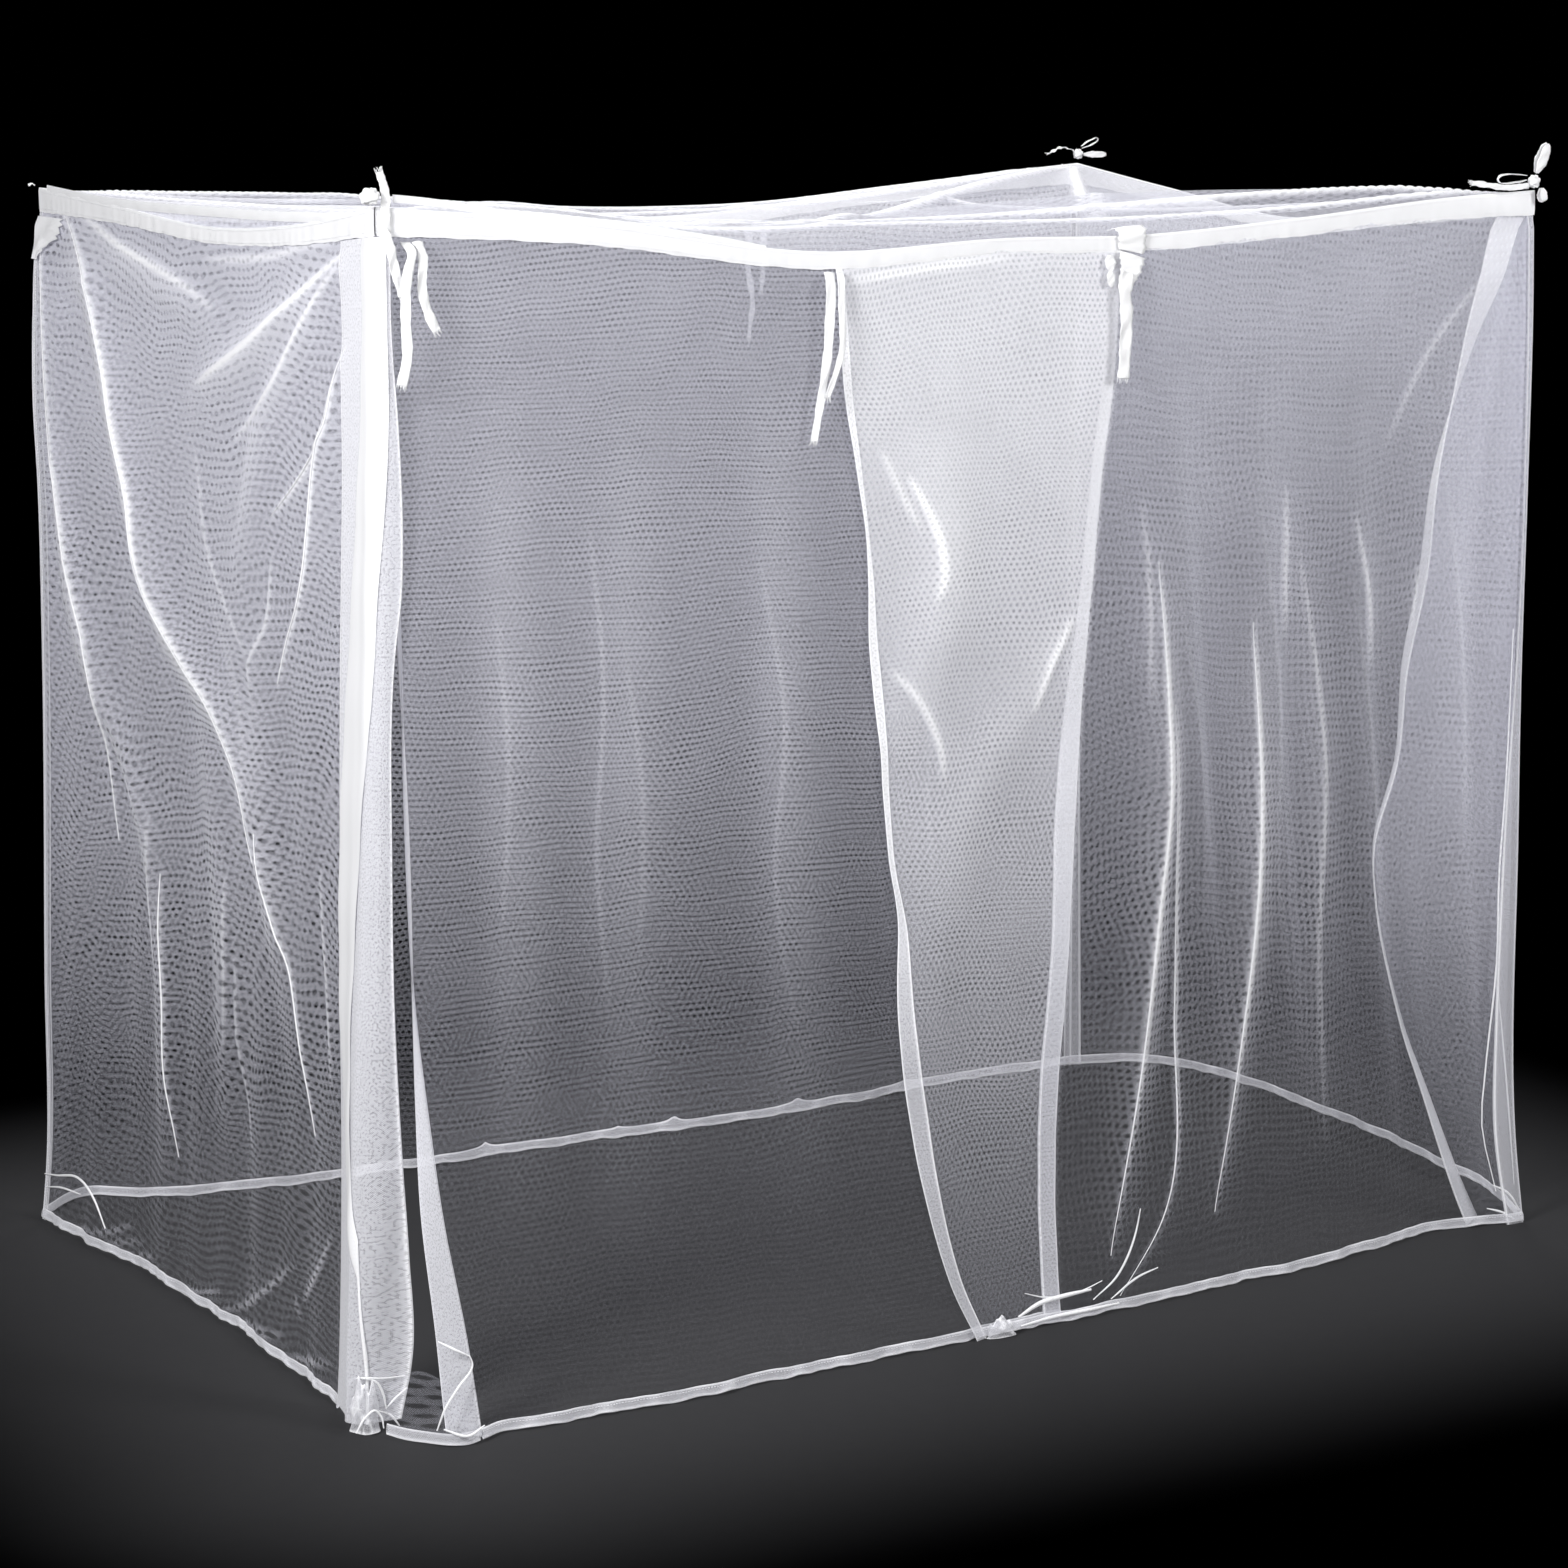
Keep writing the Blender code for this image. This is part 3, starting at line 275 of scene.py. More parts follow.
ROOF_FOLDS = (
    ("front_left", (-0.30, -0.30), 0.060, 0.017),
    ("front_right", (0.0, 0.0), 0.070, 0.032),
    ("back_left", (-0.20, 0.10), 0.050, 0.012),
    ("back_right", (0.15, 0.05), 0.050, 0.014),
)

# Tension creases of the roof: corner, far end in shares of the half sizes, half width, rise
ROOF_CREASES = (
    ("back_right", (-0.75, 0.55), 0.016, 0.005),
    ("back_right", (-0.60, 0.10), 0.011, 0.006),
    ("back_right", (-0.25, -0.45), 0.011, 0.006),
    ("back_right", (0.30, -0.70), 0.011, 0.005),
    ("back_left", (0.20, 0.45), 0.011, 0.006),
    ("back_left", (0.05, -0.10), 0.011, 0.006),
    ("back_left", (-0.40, -0.50), 0.011, 0.005),
    ("front_left", (0.20, -0.45), 0.011, 0.006),
    ("front_left", (-0.05, 0.05), 0.011, 0.005),
    ("front_left", (-0.60, 0.45), 0.011, 0.005),
    ("front_right", (-0.45, -0.50), 0.011, 0.006),
    ("front_right", (-0.30, 0.00), 0.011, 0.006),
    ("front_right", (0.35, 0.55), 0.011, 0.005),
)

# Sharp creases of each side: the rise, and the path: metres along the side and height
CREASES = {
    "left": (
        (
            0.0080, (1.150, 1.575), (1.095, 1.554), (0.987, 1.468), (0.915, 1.358), (0.873, 1.262),
            (0.815, 1.157), (0.775, 1.060), (0.685, 0.980), (0.538, 0.900), (0.447, 0.828),
            (0.360, 0.700),
        ),
        (
            0.0060, (1.178, 1.540), (1.161, 1.417), (1.143, 1.304), (1.105, 1.169), (1.057, 1.015),
            (1.005, 0.927), (0.955, 0.840), (0.938, 0.742), (0.919, 0.639),
        ),
        (
            0.0055, (1.100, 1.575), (1.004, 1.552), (0.873, 1.519), (0.711, 1.490), (0.593, 1.465),
            (0.517, 1.443),
        ),
        (
            -0.0080, (0.070, 1.550), (0.131, 1.524), (0.247, 1.469), (0.372, 1.411), (0.480, 1.372),
            (0.593, 1.337),
        ),
        (-0.0055, (0.080, 1.540), (0.129, 1.511), (0.224, 1.432), (0.302, 1.360), (0.466, 1.269)),
        (-0.0060, (0.090, 1.420), (0.114, 1.390), (0.147, 1.315), (0.216, 1.254), (0.339, 1.176)),
        (
            -0.0070, (0.120, 1.380), (0.147, 1.327), (0.191, 1.246), (0.211, 1.172), (0.225, 1.120),
            (0.249, 1.068), (0.291, 1.010), (0.324, 0.950),
        ),
        (0.0040, (0.564, 1.511), (0.319, 1.527), (0.207, 1.545), (0.124, 1.552)),
        (-0.0040, (0.340, 1.120), (0.357, 1.031), (0.418, 0.961), (0.408, 0.925)),
        (0.0030, (0.609, 1.246), (0.593, 1.201), (0.581, 1.143), (0.496, 1.027), (0.418, 0.967)),
        (0.0040, (0.775, 0.700), (0.767, 0.635), (0.762, 0.550), (0.753, 0.478)),
        (0.0050, (0.735, 0.620), (0.731, 0.545), (0.723, 0.445), (0.723, 0.316), (0.698, 0.206)),
        (0.0040, (0.508, 0.660), (0.510, 0.613), (0.513, 0.458), (0.522, 0.395)),
        (-0.0040, (0.482, 0.550), (0.480, 0.508), (0.475, 0.420), (0.435, 0.339), (0.424, 0.280)),
        (
            -0.0050, (0.360, 0.740), (0.340, 0.678), (0.309, 0.621), (0.275, 0.566), (0.235, 0.453),
            (0.192, 0.350),
        ),
        (-0.0040, (0.180, 0.720), (0.174, 0.671), (0.145, 0.531), (0.132, 0.432)),
        (0.0050, (0.269, 0.150), (0.373, 0.086), (0.475, 0.038), (0.553, 0.012)),
        (0.0050, (0.123, 0.231), (0.150, 0.188), (0.238, 0.108)),
        (0.0030, (0.266, 0.110), (0.243, 0.079)),
        (0.0040, (1.068, 0.014), (0.970, 0.030), (0.879, 0.062)),
        (0.0035, (0.976, 0.012), (0.849, 0.043)),
        (0.0030, (0.897, 0.014), (0.795, 0.031)),
        (0.0040, (0.676, 0.012), (0.546, 0.040)),
        (0.0040, (0.495, 0.010), (0.351, 0.033)),
        (0.0040, (0.412, 0.012), (0.306, 0.042)),
        (0.0045, (0.294, 0.012), (0.121, 0.050)),
    ),
    "front": (
        (
            0.0095, (1.207, 1.078), (1.214, 0.874), (1.213, 0.728), (1.190, 0.583), (1.158, 0.363),
            (1.109, 0.084),
        ),
        (0.0070, (1.228, 0.873), (1.229, 0.653), (1.228, 0.429), (1.207, 0.130), (1.128, 0.020)),
        (0.0095, (1.378, 0.979), (1.377, 0.638), (1.339, 0.340), (1.298, 0.117)),
        (-0.0040, (1.457, 1.092), (1.503, 0.776), (1.492, 0.475), (1.510, 0.195)),
        (
            0.0065, (0.790, 1.220), (0.810, 1.187), (0.827, 1.154), (0.841, 1.103), (0.841, 1.075),
            (0.831, 1.048),
        ),
        (0.0050, (0.762, 0.953), (0.798, 0.913), (0.838, 0.820), (0.838, 0.797)),
        (-0.0060, (1.062, 1.008), (1.026, 0.950), (0.990, 0.880)),
        (0.0030, (0.748, 1.257), (0.779, 1.198), (0.810, 1.145)),
        (0.0030, (1.183, 1.166), (1.190, 1.052), (1.190, 0.938), (1.192, 0.868)),
        (0.0040, (1.439, 1.176), (1.434, 1.065), (1.434, 0.950)),
        (0.0050, (1.568, 1.123), (1.594, 1.007), (1.601, 0.892)),
        (-0.0040, (1.689, 1.046), (1.677, 0.932)),
        (0.0030, (1.840, 1.500), (1.700, 1.360), (1.620, 1.220)),
        (0.0030, (0.703, 1.489), (0.829, 1.503), (0.962, 1.515)),
    ),
    "back": (
        (0.0022, (0.770, 0.900), (0.792, 0.640), (0.778, 0.350)),
        (0.0030, (0.935, 1.030), (0.962, 0.760), (0.948, 0.480), (0.972, 0.200)),
        (-0.0020, (1.010, 0.820), (1.041, 0.560), (1.030, 0.290)),
        (0.0022, (0.268, 0.980), (0.325, 0.760), (0.318, 0.520)),
        (-0.0024, (0.520, 0.760), (0.556, 0.520), (0.548, 0.180)),
        (0.0026, (1.260, 0.960), (1.312, 0.690), (1.290, 0.390), (1.325, 0.140)),
        (-0.0018, (1.640, 0.860), (1.602, 0.560), (1.618, 0.300)),
    ),
    "right": (
        (0.0024, (0.215, 1.180), (0.176, 0.860), (0.190, 0.540)),
        (-0.0026, (0.452, 0.940), (0.420, 0.640), (0.436, 0.300)),
        (0.0024, (0.700, 1.060), (0.676, 0.760), (0.712, 0.420), (0.700, 0.200)),
        (-0.0022, (0.950, 0.880), (0.920, 0.600), (0.948, 0.260)),
    ),
}
# A crease is steep on one side and dies away gently on the other
CREASE_STEEP = 0.0080
CREASE_LINE = 0.0050
CREASE_GENTLE = 0.022

# Cover of a curtain's net at each height: thinner towards the foot, so that the net is darker there
COVER_BY_HEIGHT = (
    (0, 0.12), (0.20, 0.26), (0.35, 0.40), (0.65, 0.76), (0.90, 0.98), (1.10, 1.16), (1.35, 1.33),
    (1.62, 1.40),
)

# Ripples of the slack net: where each side's start, the height under which the net is
# slack, and the height in which its hem puckers it
RIPPLE_START = {"front": 0.3, "back": 1.7, "left": 2.9, "right": 4.1}
SLACK_FROM = 1.45
PUCKER_HEIGHT = 0.035

# Waves of the bottom hems, of the tape's two layers and of its lower edge: size, waves in
# 2 pi metres, start, and how far and how fast their spacing drifts
HEM_WAVES = ((0.45, 95, 0, 2, 13), (0.35, 41, 1, 0, 0), (0.2, 173, 0, 0, 0))
TAPE_PUCKER = ((0.0003, 230, 0, 4, 23), (0.0004, 87, 0, 5, 9), (0.0008, 21, 0, 3, 5))
TAPE_EDGE = ((0.0007, 160, 0, 2, 17), (0.0008, 61, 0, 0, 0))

# Depths at which a fold and a crease reach their whole painted highlight, and the fold's share
FULL_FOLD = 0.020
FULL_CREASE = 0.0065
SOFT_FOLD = 0.22


def value_at(points, t):
    """Smooth curve through (place, value) pairs, read at t."""
    xs = np.array([p[0] for p in points], float)
    ys = np.array([p[1] for p in points], float)
    slope = np.gradient(ys, xs) if len(xs) > 2 else np.full(2, (ys[1] - ys[0]) / (xs[1] - xs[0]))
    t = np.clip(np.asarray(t, float), xs[0], xs[-1])
    i = np.clip(np.searchsorted(xs, t, side="right") - 1, 0, len(xs) - 2)
    span = xs[i + 1] - xs[i]
    u = (t - xs[i]) / span
    rise = ys[i] * (1 + 2 * u) * (1 - u) ** 2 + ys[i + 1] * u * u * (3 - 2 * u)
    return rise + span * (slope[i] * u * (1 - u) ** 2 - slope[i + 1] * u * u * (1 - u))


def bell(x, width):
    return np.exp(-((x / width) ** 2))


def ramp(x, width):
    """Rises from 0 to 1 while x does so from 0 to the width."""
    return np.clip(x / width, 0, 1)


def arch(share, margin, power=0.5):
    """Rises from one end of a line and falls to the other, share being the place along it."""
    return np.sin(math.pi * np.clip(share, margin, 1 - margin)) ** power


def waves(a, table):
    """Uneven ripples along a, each row of the table being one wave."""
    return sum(
        size * np.sin(a * rate + start + drift * np.sin(a * slow))
        for size, rate, start, drift, slow in table
    )


def lengthwise(vectors):
    """The same vectors, each one unit long."""
    return vectors / np.linalg.norm(vectors, axis=-1, keepdims=True)


def path_length(points):
    return float(np.linalg.norm(np.diff(np.array(points, float), axis=0), axis=1).sum())


def reach_along(points):
    """Distance along a path to each of its points."""
    return np.concatenate([[0], np.cumsum(np.linalg.norm(np.diff(points, axis=0), axis=1))])


def curve_through(reach, points, at):
    """Smooth curve through points that lie at distances along it, read at other distances."""
    return np.stack([value_at(list(zip(reach, axis)), at) for axis in np.array(points).T], axis=-1)


def smooth_path(points, steps):
    """Even points along a smooth curve through a few places, and the distance to each."""
    pts = np.array(points, float)
    reach = reach_along(pts)
    at = np.linspace(0, reach[-1], steps + 1)
    return curve_through(reach, pts, at), at


def corner_top(name):
    ix, iy, drop, _ = CORNERS[name]
    return np.array([ix * LENGTH / 2, iy * WIDTH / 2, HEIGHT - drop])


def corner_foot(name):
    ix, iy, _, (dx, dy) = CORNERS[name]
    return np.array([ix * LENGTH / 2 + dx, iy * WIDTH / 2 + dy, 0.0])


def side_length(side):
    return LENGTH if side in ("front", "back") else WIDTH


def outwards(side):
    return np.array([*SIDES[side]["out"], 0.0])


def bend_at(name, v):
    return value_at(BENDS[name], v) if name in BENDS else np.zeros(np.shape(v))


def between(a, b, t):
    return a + (b - a) * np.asarray(t, float)[..., None]


def tape_line(side, t):
    """Top edge of the tape: the line between two corners, less its sag."""
    ends = [corner_top(name) for name in SIDES[side]["ends"]]
    line = between(ends[0], ends[1], t)
    line[..., 2] -= value_at(SIDES[side]["sag"], t)
    return line


def tape_height(t):
    at_end = np.abs(2 * np.asarray(t, float) - 1) ** 2
    return TAPE_HEIGHT_MID + (TAPE_HEIGHT - TAPE_HEIGHT_MID) * at_end


def foot_line(side, t):
    """Lower edge of the hem, which lies partly outside the line between its feet."""
    spec = SIDES[side]
    ends = [corner_foot(name) for name in spec["ends"]]
    line = between(ends[0], ends[1], t)
    line += outwards(side) * value_at(spec["spread"], t)[..., None]
    if "lift" in spec:
        line[..., 2] += value_at(spec["lift"], t)
    return line


def outline_centre():
    t = np.linspace(0, 1, 201)
    feet = np.concatenate([foot_line(side, t)[:, :2] for side in SIDES])
    return (feet.min(axis=0) + feet.max(axis=0)) / 2


CENTRE = np.array([*outline_centre(), 0.0])


def path_distance(a, z, path, signed=False):
    """Distance from a point to a path, and how far along the path it is nearest."""
    pts = np.array(path, float)
    lengths = np.linalg.norm(np.diff(pts, axis=0), axis=1)
    best = np.full(np.shape(a), np.inf)
    along = np.zeros(np.shape(a))
    side = np.ones(np.shape(a))
    done = 0.0
    for start, end, length in zip(pts[:-1], pts[1:], lengths):
        run = (end - start) / length
        s = np.clip((a - start[0]) * run[0] + (z - start[1]) * run[1], 0, length)
        gap = np.hypot(a - start[0] - s * run[0], z - start[1] - s * run[1])
        nearer = gap < best
        best = np.where(nearer, gap, best)
        along = np.where(nearer, (done + s) / lengths.sum(), along)
        if signed:
            turn = np.sign((z - start[1]) * run[0] - (a - start[0]) * run[1])
            side = np.where(nearer, turn, side)
        done += length
    return (best * side, along) if signed else (best, along)


def fold_height(side, t, z):
    """How far the main folds push the cloth outwards at a place on a side."""
    a = t * side_length(side)
    out = np.zeros(np.shape(a))
    for half_width, depth, *path in FOLDS[side]:
        gap, along = path_distance(a, z, smooth_path(path, 16)[0])
        out += depth * bell(gap, half_width) * arch(along, 0.04)
    edge = np.minimum(a, side_length(side) - a)
    return out * ramp(edge, FOLD_FADE) ** 2


def fine_height(side, t, z):
    """Fine hang of the net: slack ripples, creases, and puckers along the hem."""
    length = side_length(side)
    a = t * length
    phase = RIPPLE_START[side]
    slack = np.clip(SLACK_FROM - z, 0, 1)
    wave = np.sin(a * 31 + 1.3 * np.sin(z * 3.1 + phase) + phase) * 0.0020
    wave += np.sin(a * 53 + 2.1 * np.sin(z * 2.3 + 2 * phase) + 2 * phase) * 0.0014
    wave += np.sin(a * 17 - z * 2.0 + 3 * phase) * 0.0026
    out = wave * slack
    near_hem = np.exp(-z / PUCKER_HEIGHT)
    out += near_hem * (
        np.sin(a * 150 + 3 * np.sin(a * 19 + phase)) * 0.0011
        + np.sin(a * 67 + phase) * 0.0014
    )
    for rise, *path in CREASES[side]:
        line, _ = crease_line(a, z, path, rise)
        out += abs(rise) * line
    edge = np.minimum(a, length - a)
    return out * ramp(edge, CREASE_FADE)


def crease_line(a, z, path, rise):
    """A crease's height and the highlight painted along its edge, both 1 at most.

    The sign of its rise says on which side of its path it is steep.
    """
    near = box_near(a, z, path)
    line, crease_highlight = np.zeros(np.shape(a)), np.zeros(np.shape(a))
    if not near.any():
        return line, crease_highlight
    gap, along = path_distance(a[near], z[near], smooth_path(path, 8 * (len(path) - 1))[0], True)
    gap = gap * math.copysign(1, rise)
    ends = arch(along, 0.01)
    steep, sharp = bell(gap, CREASE_STEEP), bell(gap, CREASE_LINE)
    gentle = np.exp(-np.abs(gap) / CREASE_GENTLE)
    line[near] = np.where(gap < 0, steep, gentle) * ends
    # Painted highlight along the crease, where the net also lies double: sharp on the steep side,
    # softer on the gentle side
    crease_highlight[near] = np.where(gap < 0, sharp, 0.80 * sharp + 0.20 * gentle) * ends
    return line, crease_highlight


def box_near(a, z, path):
    reach = 5 * CREASE_GENTLE
    low, high = np.min(path, axis=0) - reach, np.max(path, axis=0) + reach
    return (a > low[0]) & (a < high[0]) & (z > low[1]) & (z < high[1])


def crease_share(side, t, z):
    """How much denser the net lies at a place and how much highlight is painted there, 1 in the
    sharpest crease.
    """
    a = t * side_length(side)
    share = np.zeros(np.shape(a))
    for rise, *path in CREASES[side]:
        _, crease_highlight = crease_line(a, z, path, rise)
        share = np.maximum(share, crease_highlight * abs(rise) / FULL_CREASE)
    # Soft highlights painted along the main folds
    for half_width, depth, *path in FOLDS[side]:
        gap, along = path_distance(a, z, smooth_path(path, 16)[0])
        share = share + SOFT_FOLD * depth / FULL_FOLD * (bell(gap, half_width) * arch(along, 0.02))
    return share * value_at(COVER_BY_HEIGHT, z) ** 0.5


def wall_point(side, t, v, stand=0.0, fine=True):
    """Point of a side, t along it and v down it, moved outwards by stand."""
    t, v, stand = np.broadcast_arrays(
        np.asarray(t, float), np.asarray(v, float), np.asarray(stand, float)
    )
    top = tape_line(side, t)
    top[..., 2] -= tape_height(t) + SEAM_GAP
    foot = foot_line(side, t)
    point = top + (foot - top) * (np.maximum(v, 0) ** SWEEP)[..., None]
    point[..., 2] = top[..., 2] + (foot[..., 2] - top[..., 2]) * v
    drop = top[..., 2] - point[..., 2]
    push = fold_height(side, t, point[..., 2]) * ramp(drop, FOLD_FADE) ** 2
    if fine:
        push = push + fine_height(side, t, point[..., 2]) * ramp(drop, FINE_FADE)
    point += outwards(side) * (push + stand * np.clip(v / 0.02 + 0.4, 0.1, 1))[..., None]
    for name, share in zip(SIDES[side]["ends"], (1 - t, t)):
        point[..., 0] += bend_at(name, v) * np.clip(share, 0, 1) ** BEND_FADE
    return point - CENTRE


def roof_point(x, y):
    """Roof at plan point x, y: four sagging edges that fade towards the middle."""
    tx, ty = x / LENGTH + 0.5, y / WIDTH + 0.5
    z = np.zeros(np.shape(x))
    for name, (ix, iy, drop, _) in CORNERS.items():
        z += (HEIGHT - drop) * (tx if ix > 0 else 1 - tx) * (ty if iy > 0 else 1 - ty)
    edges = (("front", tx, ty), ("back", tx, 1 - ty), ("left", ty, tx), ("right", ty, 1 - tx))
    for side, t, off in edges:
        z -= value_at(SIDES[side]["sag"], t) * (1 - off) ** ROOF_FADE
    z -= ROOF_DIP * (np.sin(math.pi * tx) * np.sin(math.pi * ty)) ** 1.3
    rim = np.minimum(np.minimum(tx, 1 - tx) * LENGTH, np.minimum(ty, 1 - ty) * WIDTH)
    inside = ramp(rim, FOLD_FADE)
    for name, (sx, sy), half_width, rise in ROOF_FOLDS:
        start = corner_top(name)[:2]
        end = np.array([sx * LENGTH / 2, sy * WIDTH / 2])
        gap, along = path_distance(x, y, (start, end))
        z += rise * bell(gap, half_width) * np.sin(math.pi * np.clip(along, 0, 1)) * inside
    return np.stack([x, y, z], axis=-1) - CENTRE


def roof_crease(x, y):
    """Rise and density of the roof's tension creases, the density also painting highlights along
    them.
    """
    rise_all = np.zeros(np.shape(x))
    share = np.zeros(np.shape(x))
    for name, (sx, sy), half_width, rise in ROOF_CREASES:
        start = corner_top(name)[:2] * 0.985
        end = np.array([sx * LENGTH / 2, sy * WIDTH / 2])
        gap, along = path_distance(x, y, (start, end))
        wider = half_width * (0.6 + along)
        line = bell(gap, wider) * np.clip(along * 12, 0, 1) * (1 - along) ** 0.6
        rise_all += 1.6 * rise * line
        share = np.maximum(share, 1.4 * line)
    rim = np.minimum(LENGTH / 2 - np.abs(x), WIDTH / 2 - np.abs(y))
    return rise_all * ramp(rim, CREASE_FADE), share


# Finishes

NET_WHITE = (0.78, 0.78, 0.88)
HEM_WHITE = (0.86, 0.86, 0.91)
TAPE_WHITE = (0.90, 0.90, 0.92)
RIBBON_WHITE = (0.92, 0.92, 0.93)
# Whiter colour painted into the net where it lies double and along its creases and folds: a painted
# highlight
PAINTED_HIGHLIGHT_WHITE = (0.94, 0.94, 0.97)

# Knitted net: the width of a mesh, the height of a row of meshes in widths, how far the
# rows bend, how much cover double net and painted crease highlights add, and the least
# and most cover
MESH_WIDTH = 0.0016
ROW_SHARE = 0.866
ROW_BEND = 0.667
LAYER_AND_HIGHLIGHT_COVER = 0.45
COVER_LIMITS = (0.01, 0.96)
BRICKS = {"Scale": 1.0, "Mortar Smooth": 0.15, "Brick Width": 1.0, "Row Height": 1.0}

# Watered pattern: where a dash starts and is whole, and the net's level beside it and in
# it, how the pattern weakens where the net's cover is scaled up, the limits of its patches,
# how cloudy the net is, and how much of it is speckled
DASH = (-0.10, 0.75, 0.32, -1.0)
PATTERN_WEAKENING = (-0.65, 1.7)
LEAST_PATTERN = 0.7
PATCH_LIMITS = (0.25, 1.25)
CLOUDINESS = 0.12
SPECKLE_SHARE = 0.42

# Depth of the weave in tapes and ribbons
WEAVE_DEPTH = 0.00025


class Wiring:
    """Short words for building one material's nodes."""

    def __init__(self, name):
        self.material = bpy.data.materials.new(name)
        self.material.use_nodes = True
        self.tree = self.material.node_tree
        self.shader = self.tree.nodes["Principled BSDF"]

    def add(self, kind, **settings):
        node = self.tree.nodes.new(kind)
        for key, value in settings.items():
            setattr(node, key, value)
        return node

    def feed(self, socket, value):
        if isinstance(value, bpy.types.NodeSocket):
            self.tree.links.new(value, socket)
        else:
            socket.default_value = value

    def maths(self, operation, *values):
        node = self.add("ShaderNodeMath", operation=operation)
        for socket, value in zip(node.inputs, values):
            self.feed(socket, value)
        return node.outputs[0]

    def attribute(self, name):
        return self.add("ShaderNodeAttribute", attribute_name=name).outputs["Fac"]

    def cloth_places(self):
        """Metres along the cloth and down it."""
        split = self.add("ShaderNodeSeparateXYZ")
        self.feed(split.inputs[0], self.add("ShaderNodeUVMap", uv_map="cloth").outputs["UV"])
        return split.outputs[0], split.outputs[1]

    def joined(self, u, v, w=0.0):
        node = self.add("ShaderNodeCombineXYZ")
        for socket, value in zip(node.inputs, (u, v, w)):
            self.feed(socket, value)
        return node.outputs[0]

    def noise(self, vector, scale, detail=2.0):
        node = self.add("ShaderNodeTexNoise")
        self.feed(node.inputs["Vector"], vector)
        node.inputs["Scale"].default_value = scale
        node.inputs["Detail"].default_value = detail
        return node.outputs["Fac"]

    def clamped(self, value, low, high):
        return self.maths("MINIMUM", self.maths("MAXIMUM", value, low), high)

    def smooth_step(self, value, start, end, low, high):
        """Eases from low to high while the value goes from start to end."""
        node = self.add("ShaderNodeMapRange", interpolation_type="SMOOTHSTEP")
        for socket, number in zip(node.inputs, (value, start, end, low, high)):
            self.feed(socket, number)
        return node.outputs[0]

    def two_tones(self, first, second, share):
        """Colours the cloth from the first tone to the second by share."""
        shade = self.add("ShaderNodeMix", data_type="RGBA")
        shade.inputs["A"].default_value = (*first, 1)
        shade.inputs["B"].default_value = (*second, 1)
        self.feed(shade.inputs["Factor"], share)
        self.feed(self.shader.inputs["Base Color"], shade.outputs["Result"])

    def finish(self, colour, roughness, sheen=0.0, shine=0.3):
        values = {
            "Base Color": (*colour, 1),
            "Roughness": roughness,
            "Sheen Weight": sheen,
            "Sheen Tint": (1, 1, 1, 1),
            "Specular IOR Level": shine,
        }
        for name, value in values.items():
            self.shader.inputs[name].default_value = value
        self.material.diffuse_color = (*colour, 1)
        return self.material


def honeycomb(w, u, v, thread):
    """Knitted net: staggered bricks, whose rows are bent into hexagons. 1 on a thread."""
    along = w.maths("DIVIDE", u, MESH_WIDTH)
    down = w.maths("DIVIDE", v, MESH_WIDTH * ROW_SHARE)
    zigzag = w.maths("SUBTRACT", 0.25, w.maths("PINGPONG", along, 0.5))
    turn = w.maths("COSINE", w.maths("MULTIPLY", down, math.pi))
    bent = w.maths("ADD", down, w.maths("MULTIPLY", w.maths("MULTIPLY", zigzag, turn), ROW_BEND))
    bricks = w.add(
        "ShaderNodeTexBrick", offset=0.5, offset_frequency=2, squash=1.0, squash_frequency=2
    )
    w.feed(bricks.inputs["Vector"], w.joined(along, bent))
    for name, value in BRICKS.items():
        bricks.inputs[name].default_value = value
    w.feed(bricks.inputs["Mortar Size"], thread)
    return bricks.outputs["Fac"]


